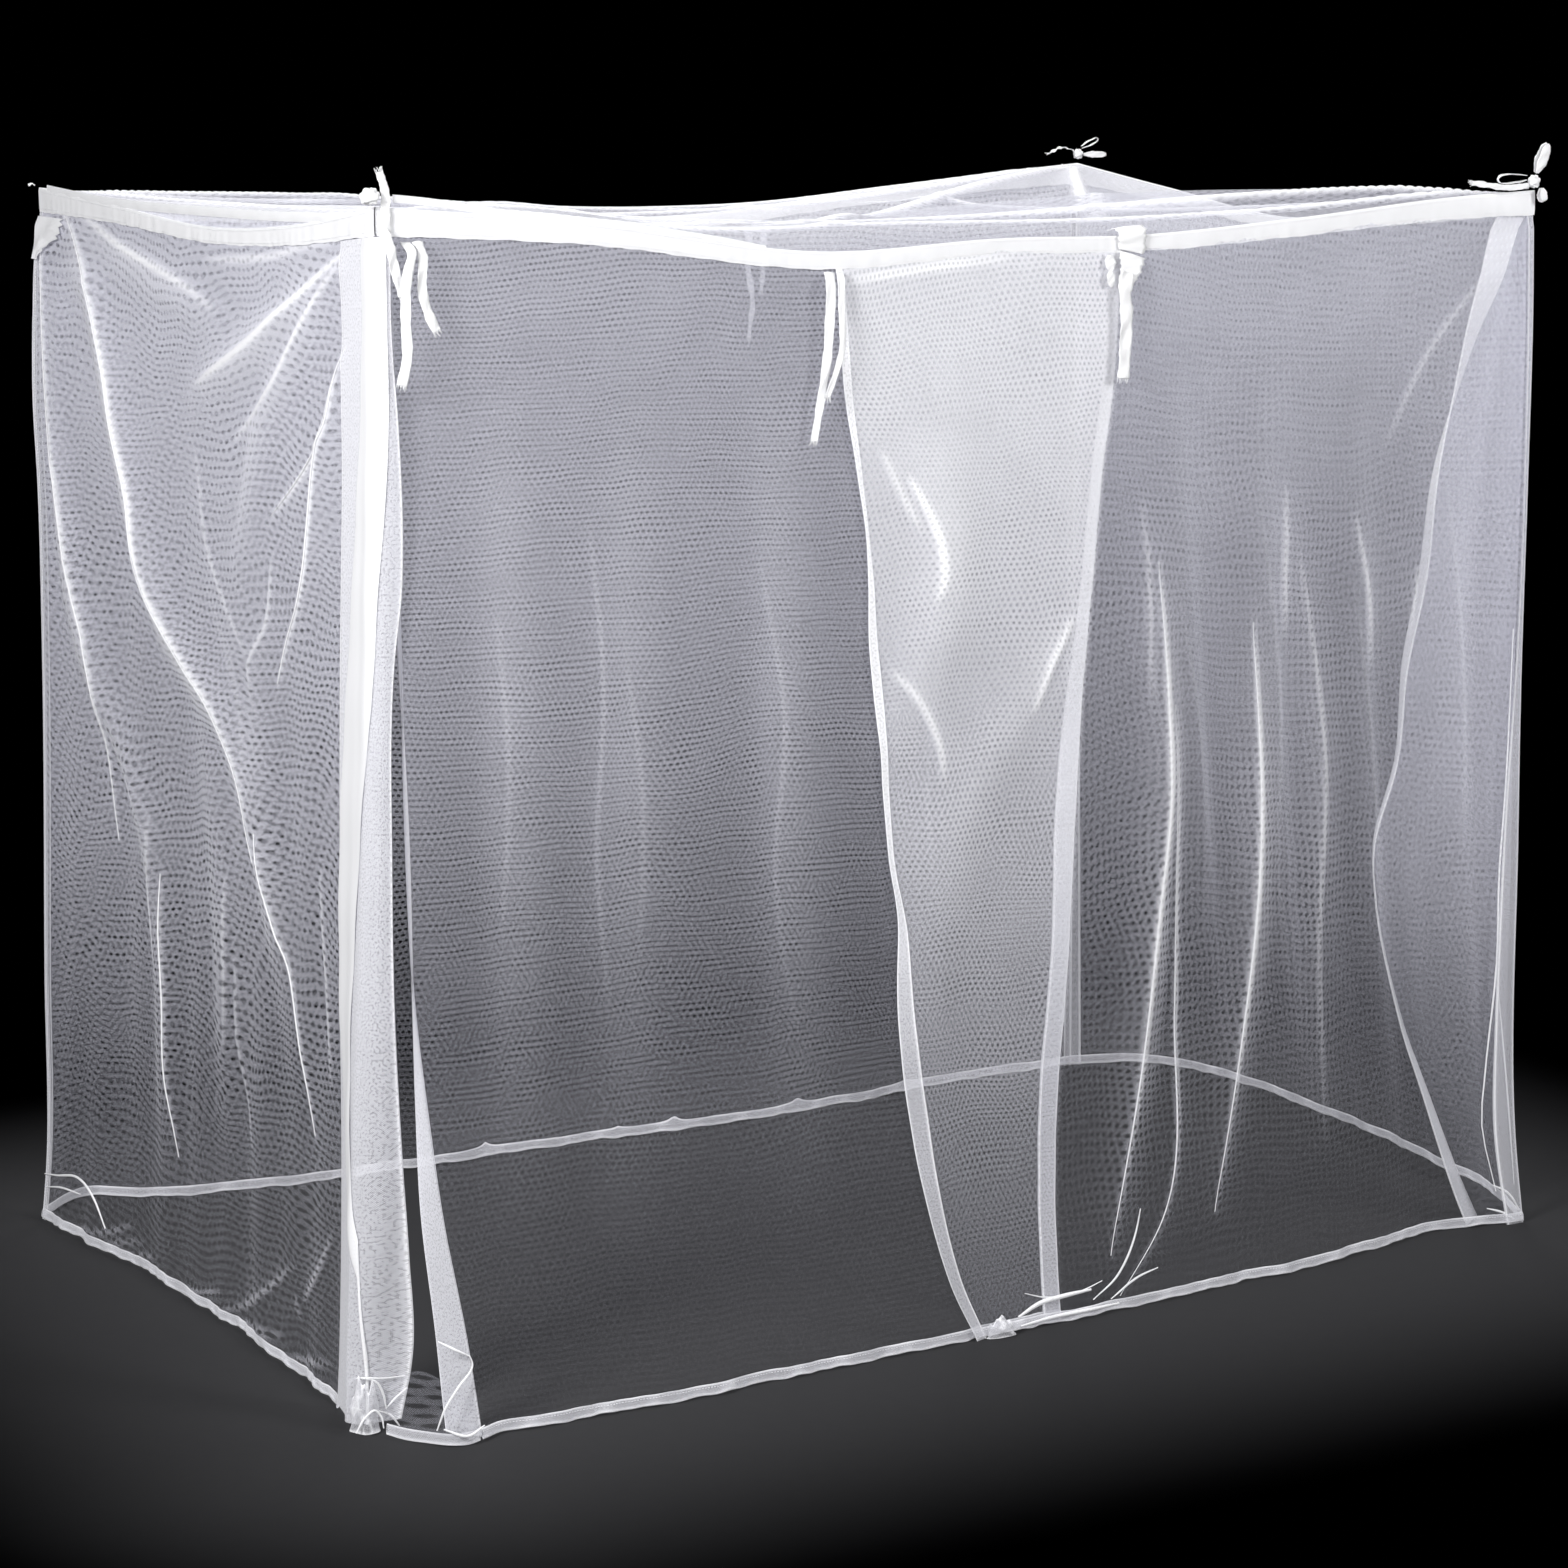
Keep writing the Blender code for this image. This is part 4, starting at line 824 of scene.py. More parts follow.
def net_finish(
        name, colour, cover, beat, strength, drift=10.0, rows=0.3, lean=0.0, patch=0.5, speckle=0.0,
        threads=0.5, least=0.10, through=0.25,
):
    """See-through net. cover is the share of the net that is thread, seen square on.

    beat is the spacing of the watered pattern's dashes along and down the cloth, and
    strength is how much clearer the net is in one. drift bends their rows, lean slants
    them, rows joins them into lines, and patch fades them in and out. speckle darkens
    small dots, and threads is the share of the net that shows as single threads. least
    limits how closed the net looks when it is seen along its surface, and through is the
    share of the pattern that shows where the net lies fuller.
    """
    w = Wiring(name)
    u, v = w.cloth_places()
    cloth = w.joined(u, v)
    bend_u = w.maths("MULTIPLY", w.noise(w.joined(u, v, 3.1), 2.6, 2.5), drift * 2 * math.pi)
    bend_v = w.maths("MULTIPLY", w.noise(cloth, 2.2, 3.0), drift * 2 * math.pi)
    along = w.maths("MULTIPLY_ADD", v, lean, u)
    across = w.maths("COSINE", w.maths("MULTIPLY_ADD", along, 2 * math.pi / beat[0], bend_u))
    turn = w.maths("MULTIPLY_ADD", v, 2 * math.pi / beat[1], bend_v)
    lines = w.maths("COSINE", turn)
    staggered = w.maths("MULTIPLY", across, w.maths("COSINE", w.maths("MULTIPLY", turn, 0.5)))
    joined_rows = w.maths("MULTIPLY", lines, (1 + 2 * rows) / 3)
    lattice = w.maths("MULTIPLY_ADD", staggered, 2 * (1 - rows) / 3, joined_rows)
    dash = w.smooth_step(lattice, *DASH)
    patches = w.noise(w.joined(u, v, 7.7), 6.0, 2.0)
    patches = w.maths("MULTIPLY_ADD", patches, 3.0 * patch, 1.0 - 1.5 * patch)
    fade = w.maths("MULTIPLY", w.clamped(patches, *PATCH_LIMITS), strength)
    full, cover_scale = w.attribute("layers_and_highlight"), w.attribute("cover_scale")
    doubled_and_highlit = w.maths("MINIMUM", full, 1.0)
    thin = w.maths("MAXIMUM", w.maths("MULTIPLY_ADD", cover_scale, *PATTERN_WEAKENING), LEAST_PATTERN)
    even = w.maths("SUBTRACT", 1.0, w.maths("MULTIPLY", doubled_and_highlit, 1.0 - through))
    shown = w.maths("MULTIPLY", thin, even)
    pattern = w.maths("MULTIPLY", w.maths("MULTIPLY", dash, shown), fade)
    cloudy = w.maths("MULTIPLY", w.maths("SUBTRACT", w.noise(cloth, 9.0), 0.5), 2 * CLOUDINESS)
    density = w.maths("ADD", 1.0, w.maths("ADD", pattern, cloudy))
    if speckle:
        dots = w.noise(w.joined(w.maths("MULTIPLY", u, 1.4), v), 300.0, 0.0)
        dots = w.maths("LESS_THAN", dots, SPECKLE_SHARE)
        density = w.maths("SUBTRACT", density, w.maths("MULTIPLY", dots, speckle))
    thread_share = w.maths("MULTIPLY_ADD", cover_scale, cover, w.maths("MULTIPLY", full, LAYER_AND_HIGHLIGHT_COVER))
    seen = w.clamped(w.maths("MULTIPLY", density, thread_share), *COVER_LIMITS)
    clear = w.maths("SUBTRACT", 1.0, seen)
    facing = w.add("ShaderNodeLayerWeight")
    facing.inputs["Blend"].default_value = 0.5
    square = w.maths("MAXIMUM", w.maths("SUBTRACT", 1.0, facing.outputs["Facing"]), least)
    slant = w.maths("POWER", clear, w.maths("DIVIDE", 1.0, square))
    solid = w.maths("SUBTRACT", 1.0, slant)
    thread = w.maths("MULTIPLY", w.maths("SUBTRACT", 1.0, w.maths("SQRT", slant)), 0.5)
    blurred = w.maths("MULTIPLY", solid, 1.0 - threads)
    sharp_and_blurred = w.maths("MULTIPLY_ADD", honeycomb(w, u, v, thread), threads, blurred)
    w.feed(w.shader.inputs["Alpha"], sharp_and_blurred)
    # Painted highlight: the net's colour turns whiter where it lies double and along its creases
    # and folds
    w.two_tones(colour, PAINTED_HIGHLIGHT_WHITE, doubled_and_highlit)
    return w.finish(colour, 0.75, 0.25)


def woven_finish(name, colour, rib, roughness=0.6):
    """Close woven tape or ribbon, with ribs across it."""
    w = Wiring(name)
    u, v = w.cloth_places()
    ribs = w.maths("SINE", w.maths("MULTIPLY", u, 2 * math.pi / rib))
    weave = w.maths("SINE", w.maths("MULTIPLY", v, 2 * math.pi / (rib * 0.8)))
    grain = w.noise(w.joined(u, v), 900.0, 2.0)
    raised = w.maths("ADD", w.maths("MULTIPLY", ribs, 1.0), w.maths("MULTIPLY", weave, 0.5))
    bump = w.add("ShaderNodeBump")
    bump.inputs["Strength"].default_value = 0.35
    bump.inputs["Distance"].default_value = WEAVE_DEPTH
    w.feed(bump.inputs["Height"], w.maths("ADD", raised, w.maths("MULTIPLY", grain, 0.7)))
    w.feed(w.shader.inputs["Normal"], bump.outputs["Normal"])
    w.two_tones([c * 0.94 for c in colour], colour, w.noise(w.joined(u, v), 60.0, 3.0))
    return w.finish(colour, roughness, 0.2)


def thread_finish(name, colour):
    """Sewing thread, a little uneven in tone."""
    w = Wiring(name)
    grain = w.noise(w.add("ShaderNodeTexCoord").outputs["Object"], 700.0, 1.0)
    w.two_tones([c * 0.82 for c in colour], colour, grain)
    return w.finish(colour, 0.55, 0.1)


# Sewn net shows few single threads, and small dots instead
SEWN = {"speckle": 0.10, "threads": 0.3}

# Nets: colour, cover, beat, strength and what else differs from one to another
NETS = {
    "left_net": (NET_WHITE, 0.185, (0.0190, 0.0120), 0.72, {"drift": 16.0, "rows": 0.35}),
    "door_net": (NET_WHITE, 0.14, (0.0090, 0.0088), 0.50, {"drift": 8.0, "patch": 0.4}),
    "outer_net": (
        NET_WHITE, 0.15, (0.0100, 0.0125), 0.60, {"rows": 0.15, "lean": -0.35, "patch": 0.6}
    ),
    "double_net": (
        NET_WHITE, 0.16, (0.0086, 0.0078), 0.50,
        {"drift": 13.0, "rows": 0.0, "patch": 0.6, "through": 0.7},
    ),
    # back_net and right_net have about twice the cover of the near nets, which paints these far
    # walls brighter: painted light on one and the same net
    "back_net": (
        NET_WHITE, 0.34, (0.0100, 0.0090), 0.62, {"drift": 8.0, "rows": 0.35, "patch": 0.4}
    ),
    "right_net": (NET_WHITE, 0.32, (0.0120, 0.0110), 0.30, {"drift": 9.0, "rows": 0.2}),
    "roof_net": (NET_WHITE, 0.15, (0.0160, 0.0140), 0.35, {"least": 0.30}),
    "hem_net": (HEM_WHITE, 0.34, (0.0060, 0.0060), 0.06, {**SEWN, "speckle": 0.22}),
    "seam_net": (HEM_WHITE, 0.20, (0.0060, 0.0060), 0.06, SEWN),
    "strip_net": (HEM_WHITE, 0.42, (0.0060, 0.0060), 0.06, {**SEWN, "speckle": 0.34}),
    "flap_net": (
        HEM_WHITE, 0.28, (0.0060, 0.0060), 0.06, {**SEWN, "speckle": 0.20, "least": 0.2}
    ),
    # fold_net: the tape's whiter colour and a nearly closed cover, partly the folds' double net and
    # partly a painted highlight
    "fold_net": (TAPE_WHITE, 0.90, (0.0060, 0.0060), 0.04, {"speckle": 0.04, "threads": 0.1}),
    "low_hem_net": (HEM_WHITE, 0.28, (0.0060, 0.0060), 0.06, SEWN),
}
FINISHES = {
    name: net_finish(name, *values, **settings) for name, (*values, settings) in NETS.items()
}
FINISHES["tape"] = woven_finish("tape_cloth", TAPE_WHITE, 0.0011)
FINISHES["ribbon"] = woven_finish("ribbon_cloth", RIBBON_WHITE, 0.0009, 0.5)
FINISHES["thread"] = thread_finish("thread", TAPE_WHITE)


# Cloth


def places_on_cloth(along, down):
    return np.stack(np.broadcast_arrays(along, down), axis=-1)


def new_object(name, data):
    obj = bpy.data.objects.new(name, data)
    bpy.context.scene.collection.objects.link(obj)
    return obj


def face_outwards(mesh, out):
    """Turns a sheet whose faces look inwards."""
    normals = np.empty(len(mesh.polygons) * 3)
    mesh.polygons.foreach_get("normal", normals)
    if normals.reshape(-1, 3).sum(axis=0) @ np.array(out, float) < 0:
        mesh.flip_normals()


def cloth_object(name, points, places, finish, layers_and_highlight=0.0, closed=False, cover_scale=1.0, out=None):
    """A sheet from a grid of points, with the place on the cloth of each as its UV map.

    Its layers value says how much the net lies double at each point and paints highlights
    along creases and folds, its cover value scales its cover, and out is the way its faces look.
    """
    rows, columns = points.shape[:2]
    index = np.arange(rows * columns).reshape(rows, columns)
    if closed:
        index = np.concatenate([index, index[:, :1]], axis=1)
    quads = np.stack([index[:-1, :-1], index[:-1, 1:], index[1:, 1:], index[1:, :-1]], axis=-1)
    quads = quads.reshape(-1, 4)
    mesh = bpy.data.meshes.new(name)
    mesh.from_pydata(points.reshape(-1, 3).tolist(), [], quads.tolist())
    layer = mesh.uv_layers.new(name="cloth")
    places = places.reshape(-1, 2)[quads.reshape(-1)]
    layer.data.foreach_set("uv", places.astype(np.float32).reshape(-1))
    for attribute, value in (("layers_and_highlight", layers_and_highlight), ("cover_scale", cover_scale)):
        values = np.broadcast_to(value, (rows, columns)).reshape(-1).astype(np.float32)
        mesh.attributes.new(attribute, "FLOAT", "POINT").data.foreach_set("value", values)
    mesh.shade_smooth()
    mesh.materials.append(FINISHES[finish])
    if out is not None:
        face_outwards(mesh, out)
    return new_object(name, mesh)


def place(obj, body, nodes=(), flat=None):
    """Hangs a finished piece on its body, but only applies the transform of a curtain's piece.

    A body written with = before its name moves the piece stiffly instead.
    """
    if body in CURTAIN_SIDE:
        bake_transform(obj)
    else:
        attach(obj, body.lstrip("="))
    if nodes:
        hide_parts(*nodes)
    return obj


CURTAIN_SIDE = {
    "left_curtain": "left",
    "back_curtain": "back",
    "right_curtain": "right",
    "inner_curtain": "front",
    "outer_curtain": "front",
}


def edge(points):
    """A free edge: its fraction along the side, at each share of the way down."""
    return lambda v: value_at(points, v)


def straight_edge(value):
    return lambda v: np.full(np.shape(v), value)


def shifted(line, metres, side):
    """An edge moved along its side by a width, which may be a table of widths."""
    reach = (lambda v: value_at(metres, v)) if isinstance(metres, tuple) else (lambda v: metres)
    return lambda v: line(v) + reach(v) / side_length(side)


def negative(table):
    return tuple((v, -width) for v, width in table)


# Shares of the way down a side: where its bottom hem starts, and where its panels start
FOOT_V = 1 - BOTTOM_HEM / HEIGHT
PANEL_TOP = -0.006

# Half the gap between the two layers of a folded hem, and the density of its fold
LAYER_GAP = 0.0011
FOLD_DENSITY = 1.4

# Length of a bottom hem's faces, and half its thickness
HEM_STEP = 0.006
HEM_PUFF = 0.0026

# Waves of the hems at the door's free edges, and how much fuller they get towards their top
DOOR_HEM = {"wave": 0.0004, "upper": 1.1}

# Turned-up spots of the back hem: metres along it and their rise
BACK_HEM_PEAKS = ((0.74, 0.010), (0.98, 0.005), (1.08, 0.012), (1.32, 0.010), (1.55, 0.006))

# One stitch, how far stitches stand off a hem, and the share of a folded hem at its seam
STITCH = {"Pitch": 0.0045, "Length": 0.72 * 0.0045, "Thickness": 0.0007}
STITCH_STAND = 0.0022
SEAM_SHARE = 0.93

# Narrowest width given to a piece's flat size, and the narrow folds of the creases' ridges
LEAST_CUT = 0.010
RIDGE_WIDTH = 0.0032

# Widths of pieces as they are cut flat, and how much cloth two small ones take
INNER_DOOR_CUT = 1.15
OUTER_DOOR_CUT = 1.16
NEAR_STRIP_CUT = 0.32
FLAP_CUT = 0.16
GUSSET_CUT, GUSSET_CLOTH = (0.10, 0.075), 0.0065
PATCH_CUT, PATCH_CLOTH = (0.100, 0.069), 0.0046

# Points down a strip, columns of its white fold and points along a seam, and the columns
# that a strip has beside its two edges, in shares of its width
STRIP_ROWS = 150
FOLD_COLUMNS = 13
SEAM_POINTS = 200
EDGE_COLUMNS = (0.008, 0.018, 0.982, 0.992)

# Out of the near corner and a little up, the way its folds face
TOWARDS_VIEWER = np.array([-0.5, -0.85, 0.1])


def panel_grid(side, low, high, v, columns, stand=0.0):
    """Points and cloth places of a panel between two edges."""
    share = np.linspace(0, 1, columns + 1)[None, :]
    v = v[:, None] + 0 * share
    t = low(v) + (high(v) - low(v)) * share
    points = wall_point(side, t, v, stand)
    places = places_on_cloth(t * side_length(side), points[..., 2])
    return points, places, crease_share(side, t, points[..., 2])


def net_panel(
        name, side, low, high, stand=0.0, step=0.0036, finish="door_net", rows=272, fuller=None
):
    """A curtain's net between two edges. fuller says where it hangs in two layers."""
    v = np.linspace(PANEL_TOP, FOOT_V + 0.002, rows + 1)
    mean = float(np.mean(high(v) - low(v))) * side_length(side)
    points, places, layers_and_highlight = panel_grid(side, low, high, v, max(4, round(mean / step)), stand)
    cover_scale = value_at(COVER_BY_HEIGHT, places[..., 1])
    layers = fuller(v[:, None], places[..., 0] / side_length(side)) if fuller else 0
    layers_and_highlight = layers_and_highlight + layers * cover_scale
    obj = cloth_object(name, points, places, finish, layers_and_highlight, cover_scale=cover_scale, out=outwards(side))
    if fuller:
        obj.data.materials.append(FINISHES["double_net"])
        double = (layers > 0.2)[:-1, :-1].reshape(-1)
        obj.data.polygons.foreach_set("material_index", double.astype(np.int32))
    return obj


def folded_band(
        name, side, low, high, stand=0.0, edge_at="high", finish="hem_net", wave=0.0, upper=0.0
):
    """Upright hem of a curtain: the net turned back on itself, with its fold at the free edge."""
    v = np.linspace(PANEL_TOP, 1.0, 171)[:, None]
    run = np.array([0.0, 0.06, 0.12, 0.22, 0.5, 0.78, 0.88, 0.94])
    share = np.concatenate([run, [0.985, 1.0, 0.985], run[::-1]])
    layer = np.concatenate([np.full(len(run), 1.0), [0.75, 0.0, -0.75], np.full(len(run), -1.0)])
    if edge_at == "low":
        share = 1 - share
    t = low(v) + (high(v) - low(v)) * share[None, :]
    push = LAYER_GAP * layer[None, :] + wave * np.sin(v * 90)
    points = wall_point(side, t, v + 0 * t, stand + push)
    places = places_on_cloth(t * side_length(side), points[..., 2])
    to_fold = share if edge_at == "high" else 1 - share
    fuller = upper * ramp(0.75 - v, 0.30)
    layers_and_highlight = (1.2 * bell(to_fold - 0.06, 0.05) + 1.2 * bell(to_fold - 1.0, 0.05))[None, :] + fuller
    return cloth_object(name, points, places, finish, layers_and_highlight)


def bottom_hem(name, side, low, high, stand=0.0, peaks=()):
    """Hem along the floor: the net folded up once, with a full lower edge and an open seam."""
    angle = np.linspace(math.radians(8), math.radians(352), 17)[:, None]
    length = float(high(1.0) - low(1.0)) * side_length(side)
    columns = max(4, round(length / HEM_STEP))
    share = np.linspace(0, 1, columns + 1)[None, :]
    v = 1 - BOTTOM_HEM / HEIGHT * (0.5 + 0.5 * np.cos(angle)) + 0 * share
    t = low(v) + (high(v) - low(v)) * share
    a = t * side_length(side)
    depth = 0.5 - 0.5 * np.cos(angle)
    low_bulge = 0.45 + 0.75 * depth
    uneven = waves(a, HEM_WAVES)
    push = HEM_PUFF * np.sin(angle) * low_bulge * (1 + 0.5 * uneven)
    for at, rise in peaks:
        v = v - rise / HEIGHT * np.exp(-np.abs(a - at) / 0.011) * (0.5 + 0.5 * np.cos(angle))
    points = wall_point(side, t, v, stand + push)
    points[..., 2] += 0.0014 * uneven * (1 - np.cos(angle)) / 2 + 0.0018
    places = places_on_cloth(a, angle * 0.006)
    fold, seam = bell(depth - 1, 0.16), bell(depth, 0.10)
    layers_and_highlight = (
        fold * (1.4 + 0.5 * uneven)
        + seam * (0.8 + 0.4 * np.sin(a * 60))
        + 0.25 * np.clip(uneven, 0, 1)
    )
    return cloth_object(
        name, points.transpose(1, 0, 2), places.transpose(1, 0, 2), "low_hem_net", layers_and_highlight.T
    )


def hem_flat(side, low, high):
    return (2 * BOTTOM_HEM, max(0.03, float(high(1.0) - low(1.0)) * side_length(side)))


def upright_hem_flat(side, low, high):
    v = np.linspace(0, 1, 50)
    return (2 * float(np.mean(high(v) - low(v))) * side_length(side), HEIGHT)


def crumple(name, body, centre, size, facing, seed, folds):
    """Cloth bunched up where a hem's end lies on the floor: size is its width, depth and height."""
    rng = np.random.default_rng(seed)
    phase = rng.uniform(0, 2 * math.pi, 6)
    q = np.linspace(-1, 1, 41)[None, :]
    rise = np.linspace(0, 1, 27)[:, None]
    out = np.array([math.cos(math.radians(facing)), math.sin(math.radians(facing)), 0.0])
    along = np.array([-out[1], out[0], 0.0])
    round_off = np.cos(q * math.pi / 2) ** 0.6
    ridges = (
        np.sin(q * folds * 3 + rise * 3 + phase[0])
        + 0.6 * np.sin(q * folds * 5.3 - rise * 5 + phase[1])
        + 0.4 * np.sin(q * 4 + rise * 11 + phase[2])
    )
    dome = round_off * np.sqrt(np.clip(1 - rise * rise, 0, 1))
    depth = size[1] * (dome + 0.16 * ridges * (1 - rise) ** 0.5)
    uneven = 1 + 0.14 * np.sin(q * 5 + phase[3]) + 0.08 * np.sin(q * 11 + phase[4])
    height = size[2] * rise * (0.72 + 0.28 * round_off) * uneven
    wide = size[0] / 2 * q * (1 - 0.18 * rise + 0.08 * np.sin(rise * 7 + phase[5]))
    points = np.array([centre[0], centre[1], 0.0015]) + along * wide[..., None]
    points = points + out * depth[..., None] + np.array([0, 0, 1]) * height[..., None]
    steps_across = np.linalg.norm(np.diff(points, axis=1), axis=-1).sum(axis=1)
    steps_up = np.linalg.norm(np.diff(points, axis=0), axis=-1).sum(axis=0)
    flat = (float(steps_across.mean()), float(steps_up.mean()))
    places = places_on_cloth(q * flat[0] / 2, rise * flat[1])
    layers_and_highlight = 0.8 * bell(ridges - 0.9, 0.35) + 1.0 * bell(rise - 1, 0.06) + 1.2 * bell(rise, 0.05)
    obj = cloth_object(name, points, places, "hem_net", layers_and_highlight, out=out)
    place(obj, body, (), flat)


def fold_line(name, body, where, lines):
    """Sharp folds that catch the light: narrow rolls of cloth, each along a few places.

    A line is its width, how far it stands off, and its places, on the side called where
    unless a place names its own.
    """
    every_grid, parts, rows = [], [], 24
    for i, (width, stand, *places) in enumerate(lines):
        spots = [spot if len(spot) == 3 else (where, *spot) for spot in places]
        path, reach = smooth_path([surface_place(*spot, stand) for spot in spots], rows)
        run = lengthwise(np.gradient(path, axis=0))
        across = lengthwise(np.cross(run, TOWARDS_VIEWER))
        out = np.cross(across, run)
        out *= np.sign(out @ TOWARDS_VIEWER)[:, None]
        taper = arch(np.linspace(0, 1, rows + 1), 0.06, 0.4)[:, None, None]
        q = np.linspace(-1, 1, 6)
        grid = path[:, None] + across[:, None] * (q * width / 2)[None, :, None] * taper
        bulge = np.cos(q * math.pi / 2) * width * 0.35
        grid = grid + out[:, None] * bulge[None, :, None] * taper
        on_cloth = places_on_cloth(q[None, :] * width / 2, reach[:, None])
        parts.append(cloth_object(name + "_%d" % i, grid, on_cloth, "fold_net"))
        every_grid.append(grid)
    cut_width = sum(line[0] * 1.3 for line in lines) / len(lines)
    length = sum(path_length(grid[:, 2]) for grid in every_grid)
    flat = (max(LEAST_CUT, cut_width), length)
    place(
        joined_piece(name, parts), body, (), flat,
    )


def ridge_lines(name, body, side, numbers):
    """The sharp ridges of a side's main creases, as narrow folds that lie on the net."""
    parts, length = [], 0.0
    for i in numbers:
        path = smooth_path(CREASES[side][i][1:], 70)[0]
        t = path[:, 0] / side_length(side)
        top, foot = tape_line(side, t), foot_line(side, t)
        top_z = top[..., 2] - tape_height(t) - SEAM_GAP
        v = ((top_z - path[:, 1]) / (top_z - foot[..., 2]))[:, None]
        taper = arch(np.linspace(0, 1, len(t)), 0.03)
        q = np.linspace(-1, 1, 5)[None, :]
        across = t[:, None] + q * taper[:, None] * RIDGE_WIDTH / 2 / side_length(side)
        grid = wall_point(side, across, v + 0 * across, 0.0012 + 0.0008 * (1 - q * q))
        places = places_on_cloth(across * side_length(side), grid[..., 2])
        title = name + "_%d" % i
        parts.append(cloth_object(title, grid, places, "fold_net", out=outwards(side)))
        length += path_length(grid[:, 2])
    obj = joined_piece(name, parts)
    place(obj, body, (), (LEAST_CUT, length))


def surface_place(where, along, v, stand):
    """A place on a side, or on the leg of the strip round the near corner."""
    if where == "leg":
        return wall_point("left", 0.0, v) + np.array([along, -STRIP_STAND - 0.003 - stand, 0.0])
    return wall_point(where, along, v, stand)


def joined_piece(name, parts):
    """Several sheets as one piece."""
    bm = bmesh.new()
    material = parts[0].data.materials[0]
    for part in parts:
        bm.from_mesh(part.data)
        mesh = part.data
        bpy.data.objects.remove(part)
        bpy.data.meshes.remove(mesh)
    mesh = bpy.data.meshes.new(name)
    bm.to_mesh(mesh)
    bm.free()
    mesh.materials.append(material)
    mesh.shade_smooth()
    return new_object(name, mesh)


def stitch_tree():
    """Geometry Nodes that lay small stitches at an even pitch along every edge path."""
    tree = bpy.data.node_groups.new("stitches", "GeometryNodeTree")
    tree.interface.new_socket("Geometry", in_out="INPUT", socket_type="NodeSocketGeometry")
    names = ("Pitch", "Length", "Thickness")
    sockets = {}
    for name in names:
        socket = tree.interface.new_socket(name, in_out="INPUT", socket_type="NodeSocketFloat")
        sockets[name] = socket.identifier
    tree.interface.new_socket("Geometry", in_out="OUTPUT", socket_type="NodeSocketGeometry")
    nodes = tree.nodes
    start, end = nodes.new("NodeGroupInput"), nodes.new("NodeGroupOutput")
    curve = nodes.new("GeometryNodeMeshToCurve")
    spaced = nodes.new("GeometryNodeResampleCurve")
    spaced.mode = "LENGTH"
    ball = nodes.new("GeometryNodeMeshIcoSphere")
    ball.inputs["Radius"].default_value = 0.5
    ball.inputs["Subdivisions"].default_value = 1
    shape = nodes.new("ShaderNodeCombineXYZ")
    stretch = nodes.new("GeometryNodeTransform")
    tangent = nodes.new("GeometryNodeInputTangent")
    turn = nodes.new("FunctionNodeAlignRotationToVector")
    turn.axis = "Z"
    lay = nodes.new("GeometryNodeInstanceOnPoints")
    real = nodes.new("GeometryNodeRealizeInstances")
    cover = nodes.new("GeometryNodeSetMaterial")
    cover.inputs["Material"].default_value = FINISHES["thread"]
    for source, output, target, entry in (
        (start, "Geometry", curve, "Mesh"),
        (curve, "Curve", spaced, "Curve"),
        (start, "Pitch", spaced, "Length"),
        (start, "Thickness", shape, "X"),
        (start, "Thickness", shape, "Y"),
        (start, "Length", shape, "Z"),
        (ball, "Mesh", stretch, "Geometry"),
        (shape, "Vector", stretch, "Scale"),
        (tangent, "Tangent", turn, "Vector"),
        (spaced, "Curve", lay, "Points"),
        (stretch, "Geometry", lay, "Instance"),
        (turn, "Rotation", lay, "Rotation"),
        (lay, "Instances", real, "Geometry"),
        (real, "Geometry", cover, "Geometry"),
        (cover, "Geometry", end, "Geometry"),
    ):
        tree.links.new(source.outputs[output], target.inputs[entry])
    return tree, sockets


def stitch_rows(name, body, paths, tree, sockets):
    """Stitches along a few seams of one body, as one piece."""
    points = np.concatenate(paths)
    first = np.cumsum([0] + [len(p) for p in paths[:-1]])
    edges = [(int(k + i), int(k + i + 1)) for k, p in zip(first, paths) for i in range(len(p) - 1)]
    mesh = bpy.data.meshes.new(name + "_path")
    mesh.from_pydata(points.tolist(), edges, [])
    obj = new_object(name, mesh)
    modifier = obj.modifiers.new("stitches", "NODES")
    modifier.node_group = tree
    for socket, value in STITCH.items():
        modifier[sockets[socket]] = value
    depsgraph = bpy.context.evaluated_depsgraph_get()
    made = bpy.data.meshes.new_from_object(obj.evaluated_get(depsgraph), depsgraph=depsgraph)
    obj.modifiers.clear()
    obj.data = made
    made.name = name
    place(obj, body)


def tape_seam(side, down):
    t = np.linspace(0.004, 0.996, round(side_length(side) / 0.012))
    line = tape_line(side, t) - CENTRE
    line[..., 2] -= tape_height(t) * down
    return line + outwards(side) * 0.0030


def hem_row(side, low, high, stand):
    """Seam of a bottom hem, between two fractions along its side."""
    seam = np.full(SEAM_POINTS, 1 - BOTTOM_HEM / HEIGHT * 0.86)
    return wall_point(side, np.linspace(low, high, SEAM_POINTS), seam, stand)


